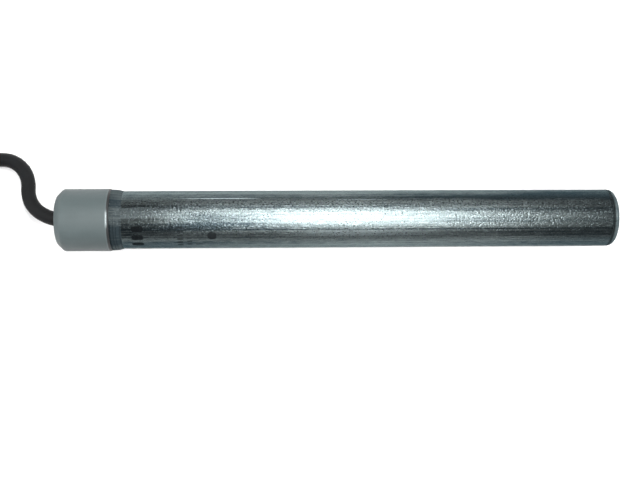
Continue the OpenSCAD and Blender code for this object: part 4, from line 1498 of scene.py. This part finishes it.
@dataclass
class MainsPlug:
    """A round moulded two-pin plug with flats top and bottom, its pins, earth strips and ribbed boot."""

    face: Point = (-402.0, 10.05, 16.5)
    diameter: float = 37.0
    flats: float = 33.0
    length: float = 33.0
    pin_d: float = 4.8
    pin_len: float = 19.0
    pin_spacing: float = 19.0
    pin_depth: float = 10.0
    clip_w: float = 7.0
    clip_groove: float = 2.6
    clip_reach: float = 16.0
    boot_len: float = 22.0
    boot_start_r: float = 8.6
    boot_thin_r: float = 4.7
    boot_bore_r: float = 3.14
    boot_ribs: int = 4
    rib_half_gap: float = 0.8
    grip_grooves: int = 5
    grip_first: float = 4.2
    grip_pitch: float = 2.6
    grip_r: float = 1.6
    grip_depth: float = 0.7
    grip_height: float = 18.0
    body: bpy.types.Object | None = field(default=None, init=False)
    boot: bpy.types.Object | None = field(default=None, init=False)
    pins: bpy.types.Object | None = field(default=None, init=False)
    clips: bpy.types.Object | None = field(default=None, init=False)

    @property
    def centre(self) -> tuple[float, float]:
        """Gives the plug's axis."""
        return self.face[1], self.face[2]

    @property
    def pieces(self) -> list[bpy.types.Object]:
        """Gives the plug's pieces."""
        return [self.body, self.boot, self.pins, self.clips]

    def build(self) -> None:
        """Builds the body, the boot, the pins and the earth strips."""
        self.body = self.build_body()
        self.boot = self.build_boot()
        self.pins = self.build_pins()
        self.clips = self.build_clips()

    def build_body(self) -> bpy.types.Object:
        """Turns the body, cuts its flats, the strips' grooves and the finger grips.

        Returns:
            The body.
        """
        x, r, n = self.face[0], self.diameter / 2, self.boot_start_r
        body = turn_on_lathe(
            "plug_moulding",
            # The face with its broken edge, the grip, and the shoulder down to the boot
            [
                (x, 2.0),
                (x, r - 1),
                (x + 1, r),
                (x + self.length * 0.4, r),
                (x + self.length * 0.5, r - 1.6),
                (x + self.length * 0.72, n + 3.4),
                (x + self.length * 0.9, n + 0.8),
                (x + self.length, n),
                (x + self.length, 4.0),
            ],
            self.centre,
            sides=120,
        )
        flat = (self.flats / 2, self.diameter, x + self.length + 2)
        groove = (self.flats / 2 - self.clip_groove, self.clip_w / 2 + 0.5, x + self.clip_reach + 1)
        for cut in (flat, groove):
            for side in (-1, 1):
                self.cut_slab(body, side, *cut)
        settle_order(body, nearest=0.05)
        soften_edges(body, width=0.35, segments=3, angle=28)
        for side in (-1, 1):
            for number in range(self.grip_grooves):
                self.cut_grip(body, side, x + self.grip_first + self.grip_pitch * number)
        settle_order(body, nearest=0.001)
        smooth_faces(body, angle=30)
        return body

    def cut_slab(self, body: bpy.types.Object, side: int, floor: float, half_width: float, end_x: float) -> None:
        """Cuts a flat or a groove into the body's underside or top.

        Args:
            body: The plug's body.
            side: -1 for the underside, 1 for the top.
            floor: How far the cut's floor is from the axis, in millimetres.
            half_width: Half the cut's width in millimetres.
            end_x: Where the cut ends along X, in millimetres.
        """
        x, y, z = self.face
        low, high = sorted((z + side * floor, z + side * self.diameter))
        slab = add_box("slab_tool", (x - 2, y - half_width, low), (end_x, y + half_width, high))
        cut_away(body, slab)

    def cut_grip(self, body: bpy.types.Object, side: int, at_x: float) -> None:
        """Cuts one finger groove across the body's side.

        Args:
            body: The plug's body.
            side: -1 for the front, 1 for the back.
            at_x: The groove's middle along X, in millimetres.
        """
        deselect_all()
        y = self.face[1] + side * (self.diameter / 2 + self.grip_r - self.grip_depth)
        bpy.ops.mesh.primitive_cylinder_add(
            vertices=24,
            radius=self.grip_r * MM,
            depth=self.grip_height * MM,
            location=(at_x * MM, y * MM, self.face[2] * MM),
        )
        cut_away(body, settle("grip_tool"))

    def build_boot(self) -> bpy.types.Object:
        """Turns the boot with its flexing grooves.

        Returns:
            The boot.
        """
        x, half = self.face[0] + self.length, self.rib_half_gap
        pitch = self.boot_len / (self.boot_ribs + 1)
        outside = [(x, self.boot_start_r)]
        for number in range(1, self.boot_ribs + 1):
            for shift, deep in ((-half, False), (-half, True), (half, True), (half, False)):
                place = number * pitch + shift
                r = self.boot_start_r + (self.boot_thin_r - self.boot_start_r) * place / self.boot_len
                outside.append((x + place, self.boot_thin_r if deep else r))
        outside.append((x + self.boot_len, self.boot_thin_r))
        inside = [(x + self.boot_len, self.boot_bore_r), (x, self.boot_bore_r)]
        boot = turn_on_lathe("plug_strain_boot", [*outside, *inside, outside[0]], self.centre, sides=72)
        soften_edges(boot, width=0.22, segments=2, angle=30)
        smooth_faces(boot, angle=32)
        return boot

    def build_pins(self) -> bpy.types.Object:
        """Turns one round pin with its collar in the body, and pairs it.

        Returns:
            The pair of pins.
        """
        x, r = self.face[0], self.pin_d / 2
        tip, collar_r = x - self.pin_len, r + 0.4
        profile = [
            (tip, 0.5),
            (tip, r * 0.5),
            (tip + 0.5, r * 0.72),
            (tip + 1.6, r),
            (x, r),
            (x, collar_r),
            (x + self.pin_depth, collar_r),
            (x + self.pin_depth, 0.5),
        ]
        axis = (self.face[1] - self.pin_spacing / 2, self.face[2])
        pin = turn_on_lathe("plug_contact_pins", profile, axis, sides=40)
        soften_edges(pin, width=0.15, segments=3, angle=18)
        smooth_faces(pin, angle=30)
        return self.paired(pin)

    def build_clips(self) -> bpy.types.Object:
        """Bends one sprung earth strip in its groove, and pairs it.

        Returns:
            The pair of strips.
        """
        floor = self.flats / 2 - self.clip_groove + 0.02
        crown, thickness = self.clip_groove - 0.9, 0.6
        # Millimetres from the plug's face, and shares of the crown's height
        bends = ((0.6, 0), (3, 0), (5, 0.55), (7, 1), (8.5, 1.02), (10, 1), (11.8, 0.5), (13.5, 0))
        path = [(out, floor + crown * share) for out, share in (*bends, (self.clip_reach, 0))]
        x, y, z = self.face
        deselect_all()
        bpy.ops.mesh.primitive_plane_add(size=1, location=((x + path[0][0]) * MM, y * MM, z * MM))
        # A plane squashed along X and merged is one edge across the strip, which is then drawn along the path
        bpy.context.object.scale = (0.001 * MM, self.clip_w * MM, 1)
        strip = settle("plug_earth_strips")
        bpy.ops.object.mode_set(mode="EDIT")
        bpy.ops.mesh.select_all(action="SELECT")
        bpy.ops.mesh.remove_doubles(threshold=0.01 * MM)
        bpy.ops.transform.translate(value=(0, 0, path[0][1] * MM))
        for (x0, z0), (x1, z1) in pairwise(path):
            move = ((x1 - x0) * MM, 0, (z1 - z0) * MM)
            bpy.ops.mesh.extrude_region_move(TRANSFORM_OT_translate={"value": move})
        bpy.ops.mesh.select_all(action="SELECT")
        bpy.ops.mesh.normals_make_consistent(inside=False)
        bpy.ops.object.mode_set(mode="OBJECT")
        # The strip gets its thickness on its outer side
        up = sum(face.normal.z * face.area for face in strip.data.polygons)
        apply_modifier(strip, "SOLIDIFY", thickness=thickness * MM, offset=1.0 if up > 0 else -1.0)
        soften_edges(strip, width=0.12, segments=2, angle=50)
        smooth_faces(strip, angle=35)
        return self.paired(strip)

    def paired(self, piece: bpy.types.Object) -> bpy.types.Object:
        """Copies a piece with its own mesh, turns the copy half way round the plug's axis and joins the two.

        Args:
            piece: The first of the pair.

        Returns:
            The pair as one piece.
        """
        copy = piece.copy()
        copy.data = piece.data.copy()
        bpy.context.collection.objects.link(copy)
        middle = Vector(self.face) * MM
        about = Matrix.Translation(middle) @ Matrix.Rotation(math.pi, 4, "X") @ Matrix.Translation(-middle)
        copy.data.transform(about)
        return join_pieces([piece, copy])

    def dress(self) -> None:
        """Gives the plug's pieces their finishes."""
        finish_piece(self.body, Finishes.plug, ("plug_body",))
        finish_piece(self.boot, Finishes.plug, ("plug_boot",))
        finish_piece(self.pins, Finishes.nickel, ("plug_pins",))
        finish_piece(self.clips, Finishes.nickel, ("plug_earth_clips",))


@dataclass
class HeadCap:
    """The grey plastic cap pushed over the tube's neck, and the rubber grommet that the lead leaves by."""

    radius: float = 13.5
    length: float = 23.5
    chamfer: float = 3.0
    rounding: float = 0.8
    rim: float = 0.3
    rim_start: float = 22.3
    end_wall: float = 3.0
    neck_start: float = 7.5
    bore_r: float = 11.31
    cavity_r: float = 10.5
    mouth_r: float = 4.62
    grommet_lip_r: float = 5.0
    grommet_lip: float = 1.2
    grommet_flare_r: float = 3.95
    grommet_tail: float = 8.0
    grommet_tail_r: float = 4.4
    clearance: float = 0.05
    lead_r: float = 3.1
    cap: bpy.types.Object | None = field(default=None, init=False)
    grommet: bpy.types.Object | None = field(default=None, init=False)

    def build(self) -> None:
        """Turns the cap and the grommet."""
        self.cap = self.build_cap()
        self.grommet = self.build_grommet()

    def build_cap(self) -> bpy.types.Object:
        """Turns the cap, closed round the lead and open towards the tube.

        Returns:
            The cap.
        """
        x = CAP_FACE_X
        face, side = (x, self.radius - self.chamfer), (x + self.chamfer, self.radius)
        rim = (x + self.rim_start, self.radius)
        wall = [
            (x, self.mouth_r),
            *rounded((x, 0), face, side, self.rounding),
            *rounded(face, side, rim, self.rounding),
            # The rim falls off in a soft edge where the flash was scraped away
            rim,
            (x + self.rim_start + 0.35, self.radius - 0.04),
            (x + self.rim_start + 0.7, self.radius - self.rim * 0.6),
            (x + self.length, self.radius - self.rim),
            (x + self.length, self.bore_r),
            (x + self.neck_start, self.bore_r),
            (x + self.neck_start, self.cavity_r),
            (x + self.end_wall, self.cavity_r),
            (x + self.end_wall, self.mouth_r),
            (x, self.mouth_r),
        ]
        cap = turn_on_lathe("head_cap_moulding", wall, HEATER_AXIS, sides=144)
        soften_edges(cap, width=0.25, segments=3, angle=40)
        smooth_faces(cap, angle=30)
        unroll(cap, x, HEATER_AXIS)
        return cap

    def build_grommet(self) -> bpy.types.Object:
        """Turns the grommet: a lip outside the cap, a tail inside it, and a mouth that flares round the lead.

        Returns:
            The grommet.
        """
        x, gap = CAP_FACE_X, self.clearance
        lip, tail = x - self.grommet_lip, x + self.end_wall + self.grommet_tail
        wall = [
            (lip, self.grommet_flare_r),
            (lip, self.grommet_lip_r - 0.5),
            (lip + 0.5, self.grommet_lip_r),
            (x - gap, self.grommet_lip_r),
            (x - gap, self.mouth_r - gap),
            (x + self.end_wall, self.mouth_r - gap),
            (tail, self.grommet_tail_r),
            (tail, self.lead_r + gap),
            (x + 4, self.lead_r + gap),
            (lip, self.grommet_flare_r),
        ]
        grommet = turn_on_lathe("lead_grommet", wall, HEATER_AXIS, sides=72)
        soften_edges(grommet, width=0.12, segments=2, angle=30)
        smooth_faces(grommet, angle=30)
        return grommet

    def dress(self) -> None:
        """Gives the cap its grey plastic and the grommet its rubber."""
        finish_piece(self.cap, Finishes.cap, ("head_cap",))
        finish_piece(self.grommet, Finishes.grommet, ("cord_gland",))


@dataclass
class SealantFillet:
    """The sealant wiped into the corner between the cap's rim and the tube."""

    start: float = 23.52
    end: float = 28.5
    cap_r: float = 13.2
    tube_r: float = 12.58
    neck_r: float = 11.36
    waviness: float = 0.14
    piece: bpy.types.Object | None = field(default=None, init=False)

    def build(self) -> None:
        """Turns the fillet and lets its surface wander as hand work does."""
        x = CAP_FACE_X
        mid, mid_r = (self.start + self.end) / 2, (self.cap_r + self.tube_r) / 2
        # A little full against the cap's rim, and feathered out on the tube
        wall = [
            (x + self.start, self.neck_r),
            (x + self.start, self.cap_r),
            (x + self.start + 0.9, self.cap_r - 0.03),
            (x + mid - 0.6, mid_r + 0.22),
            (x + mid + 0.6, mid_r + 0.08),
            (x + self.end - 0.8, self.tube_r + 0.1),
            (x + self.end, self.tube_r - 0.06),
            (x + self.end, self.tube_r - 0.075),
            (x + self.start, self.neck_r),
        ]
        piece = turn_on_lathe("sealant_fillet", wall, HEATER_AXIS, sides=144)
        for vertex in piece.data.vertices:
            radius = math.hypot(vertex.co.y, vertex.co.z - AXIS_HEIGHT * MM) / MM
            station = vertex.co.x / MM - x
            if radius > self.tube_r and self.start + 0.5 < station < self.end - 0.3:
                angle = round_angle(vertex.co, HEATER_AXIS)
                wander = math.sin(3 * angle + 0.7) + 0.6 * math.sin(7 * angle + 2.1) + 0.4 * math.sin(13 * angle)
                vertex.co.x += self.waviness * wander * MM
        smooth_faces(piece, angle=50)
        unroll(piece, x, HEATER_AXIS)
        self.piece = piece

    def dress(self) -> None:
        """Gives the fillet its silicone."""
        finish_piece(self.piece, Finishes.sealant, ("sealant_bead",))


@dataclass
class HeaterTube:
    """The drawn tube with its reduced neck, and the shallow cup that closes its far end."""

    outer_r: float = 12.5
    wall: float = 0.7
    neck_r: float = 11.3
    neck_start: float = 7.5
    shoulder: float = 23.5
    shoulder_end: float = 28.5
    seam: float = 239.5
    seam_chamfer: float = 0.25
    length: float = 243.0
    corner_r: float = 3.0
    rings: int = 8
    sides: int = 160
    tube: bpy.types.Object | None = field(default=None, init=False)
    cup: bpy.types.Object | None = field(default=None, init=False)

    def build(self) -> None:
        """Turns the tube and its end cup."""
        self.tube = self.build_tube()
        self.cup = self.build_cup()

    def build_tube(self) -> bpy.types.Object:
        """Turns the tube: its reduced neck, the shoulder, the long body in rings and the seam's chamfer.

        Returns:
            The tube.
        """
        x = CAP_FACE_X
        bore, inner_neck = self.outer_r - self.wall, self.neck_r - self.wall
        body = self.seam - self.shoulder_end
        wall = [
            (x + self.neck_start, self.neck_r),
            (x + self.shoulder, self.neck_r),
            (x + self.shoulder_end, self.outer_r),
            *((x + self.shoulder_end + body * n / self.rings, self.outer_r) for n in range(1, self.rings)),
            (x + self.seam - self.seam_chamfer, self.outer_r),
            (x + self.seam, self.outer_r - self.seam_chamfer),
            (x + self.seam, bore),
            (x + self.shoulder_end + 0.3, bore),
            (x + self.shoulder + 0.3, inner_neck),
            (x + self.neck_start, inner_neck),
            (x + self.neck_start, self.neck_r),
        ]
        tube = turn_on_lathe("drawn_tube", wall, HEATER_AXIS, self.sides)
        smooth_faces(tube, angle=30)
        unroll(tube, x, HEATER_AXIS)
        return tube

    def build_cup(self) -> bpy.types.Object:
        """Turns the end cup with its rounded corner and slightly dished face.

        Returns:
            The cup.
        """
        x, r, c = CAP_FACE_X, self.outer_r, self.corner_r
        end = x + self.length
        outside = [(x + self.seam + 0.02, r - self.seam_chamfer), (x + self.seam + self.seam_chamfer, r)]
        for degrees in range(0, 91, 10):
            angle = math.radians(degrees)
            outside.append((end - c + c * math.sin(angle), r - c + c * math.cos(angle)))
        outside += [(end - 0.12, 6.0), (end - 0.15, 0.6)]
        cup = turn_on_lathe("end_cup", outside, HEATER_AXIS, self.sides)
        smooth_faces(cup, angle=35)
        unroll(cup, x, HEATER_AXIS)
        return cup

    def dress(self) -> None:
        """Gives the tube and the cup their drawn metal."""
        finish_piece(self.tube, Finishes.tube, ("sheath_tube",))
        finish_piece(self.cup, Finishes.cup, ("sheath_end_cap",))


@dataclass
class InnerWorks:
    """The sealed inner parts, which stay the frame's own solids and get their finishes here."""

    finishes: tuple[tuple[Finish, tuple[str, ...]], ...] = (
        (Finishes.seal, ("neck_seal_rings",)),
        (Finishes.potting, ("potting",)),
        (Finishes.tinned, ("cord_clamp", "crimp_sleeves", "fuse_leads")),
        (Finishes.core_brown, ("core_live",)),
        (Finishes.core_blue, ("core_neutral",)),
        (Finishes.core_green, ("core_earth",)),
        (Finishes.fibre, ("barrier_disc",)),
        (Finishes.mica, ("mica_board", "mica_sleeve")),
        (Finishes.brass, ("earth_tag", "contact_terminal", "pivot_terminal")),
        (
            Finishes.ceramic,
            ("thermal_fuse", "cutout_case", "cutout_cover", "upper_disc", "ceramic_core", "lower_disc"),
        ),
        (Finishes.silver, ("fixed_contact", "moving_contact")),
        (Finishes.steel, ("pivot_pin",)),
        (Finishes.bimetal, ("bimetal_arm",)),
        (Finishes.resistance, ("element_lead", "return_lead", "heating_wire")),
        (Finishes.glass_braid, ("glass_sleeve",)),
        (Finishes.powder, ("mineral_fill",)),
        (Finishes.wool, ("fibre_pad",)),
    )

    def dress(self, nodes: dict[str, bpy.types.Object]) -> None:
        """Assigns each inner node its finish.

        Args:
            nodes: The frame's nodes by name.
        """
        for finish, names in self.finishes:
            for name in names:
                node = nodes[name]
                if not node.material_slots:
                    node.data.materials.append(None)
                for place in node.material_slots:
                    place.material = finish.material()
                LOG.info("%s: %s", name, finish.name)


@dataclass(frozen=True)
class SoftLight:
    """A rectangular soft light: its middle, the point that it faces, its two sides and its power in watts."""

    name: str
    place: Point
    aim: Point
    size: tuple[float, float]
    power: float

    def hang(self) -> None:
        """Adds the light to the scene."""
        lamp = bpy.data.lights.new(self.name, "AREA")
        lamp.shape = "RECTANGLE"
        lamp.size, lamp.size_y = self.size[0] * MM, self.size[1] * MM
        lamp.energy = self.power
        holder = bpy.data.objects.new(self.name, lamp)
        bpy.context.collection.objects.link(holder)
        holder.location = Vector(self.place) * MM
        holder.rotation_euler = (Vector(self.aim) - Vector(self.place)).to_track_quat("-Z", "Y").to_euler()
        LOG.info("%s: %.1f W", self.name, self.power)


@dataclass
class Studio:
    """A pale floor, a soft strip of light over the tube, two weak fills and a dim room with paler end walls."""

    floor_size: float = 9000.0
    floor_z: float = -0.02
    lights: tuple[SoftLight, ...] = (
        SoftLight("strip_softbox", (48, 130, 800), (48, 130, 0), (90, 1050), 12.2),
        SoftLight("left_fill", (-900, 60, 520), (-110, 0, 0), (420, 420), 6.3),
        SoftLight("right_fill", (900, 60, 420), (110, 0, 0), (420, 300), 2.5),
    )
    # The room's grey at the horizon and straight up, and at shares of the way between
    room_ends: tuple[float, float] = (0.24, 0.32)
    room_between: tuple[tuple[float, float], ...] = ((0.3, 0.2), (0.6, 0.24))
    # How much brighter the room's two end walls are, and where they start and are full, as shares along X
    end_walls: float = 4.0
    end_walls_from: float = 0.45
    end_walls_full: float = 0.7

    def build_floor(self) -> None:
        """Lays the paper floor."""
        deselect_all()
        bpy.ops.mesh.primitive_plane_add(size=self.floor_size * MM, location=(0, 0, self.floor_z * MM))
        floor = settle("paper_floor")
        bpy.ops.object.mode_set(mode="EDIT")
        bpy.ops.mesh.select_all(action="SELECT")
        bpy.ops.mesh.subdivide(number_cuts=8)
        bpy.ops.object.mode_set(mode="OBJECT")
        floor.data.materials.append(Finishes.paper.material())
        LOG.info("%s: %s", floor.name, Finishes.paper.name)

    def build_room(self) -> None:
        """Makes the dim room round the floor: darker at the horizon and lighter overhead."""
        room = bpy.data.worlds.new("studio_room")
        bpy.context.scene.world = room
        room.use_nodes = True
        add = partial(add_node, room.node_tree)
        room.node_tree.nodes.clear()
        ways = add("SeparateXYZ", add("TexCoord").outputs["Generated"])
        shade = add("ValToRGB", ways.outputs["Z"])
        stops = shade.color_ramp.elements
        for stop, grey in zip(stops, self.room_ends):
            stop.color = (grey, grey, grey, 1.0)
        for place, grey in self.room_between:
            stops.new(place).color = (grey, grey, grey, 1.0)
        sideways = add("Math", ways.outputs["X"], operation="ABSOLUTE")
        ends = add("MapRange", sideways, self.end_walls_from, self.end_walls_full, 1.0, self.end_walls)
        add("OutputWorld", add("Background", shade, ends))

    def build(self) -> None:
        """Builds the floor, the lights and the room."""
        self.build_floor()
        for light in self.lights:
            light.hang()
        self.build_room()
        bpy.context.scene.view_settings.view_transform = "Standard"


@dataclass
class OverheadCamera:
    """The camera over the heater, looking down almost square on to it."""

    focal_px: float = 1012.0
    frame_px: int = 640
    sensor: float = 36.0
    place: Point = (-28.2, -9.2, 456.0)
    target: Point = (-8.2, -9.2, 13.5)
    roll: float = 0.33
    # In metres
    nearest: float = 0.01
    farthest: float = 50.0

    def build(self) -> None:
        """Makes the camera and gives it to the scene."""
        lens = bpy.data.cameras.new("overhead_camera")
        lens.sensor_width = self.sensor
        lens.lens = self.focal_px / self.frame_px * self.sensor
        lens.clip_start, lens.clip_end = self.nearest, self.farthest
        camera = bpy.data.objects.new("overhead_camera", lens)
        bpy.context.collection.objects.link(camera)
        back = (Vector(self.place) - Vector(self.target)).normalized()
        right = Vector((0, 1, 0)).cross(back).normalized()
        up = back.cross(right)
        square = Matrix((right, up, back)).transposed().to_4x4()
        camera.matrix_world = (
            Matrix.Translation(Vector(self.place) * MM)
            @ square
            @ Matrix.Rotation(math.radians(-self.roll), 4, "Z")
        )
        bpy.context.scene.camera = camera
        LOG.info("overhead_camera: %.1f mm lens", lens.lens)


def main() -> None:
    """Loads the frame, builds the camera, the lead, the heater and the studio in order."""
    logging.basicConfig(level=logging.INFO, format="%(name)s: %(message)s")
    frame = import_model()
    OverheadCamera().build()

    lead = MainsLead()
    lead.build()
    strap = HankStrap(lead.hank_middle, lead.hank_y)
    strap.build()
    strap.dress()
    plug = MainsPlug()
    plug.build()
    plug.dress()
    lead.dress([strap.piece, *plug.pieces])

    for part in (HeadCap(), SealantFillet(), HeaterTube()):
        part.build()
        part.dress()
    InnerWorks().dress(frame["nodes"])
    Studio().build()

    deselect_all()


if __name__ == "__main__":
    main()
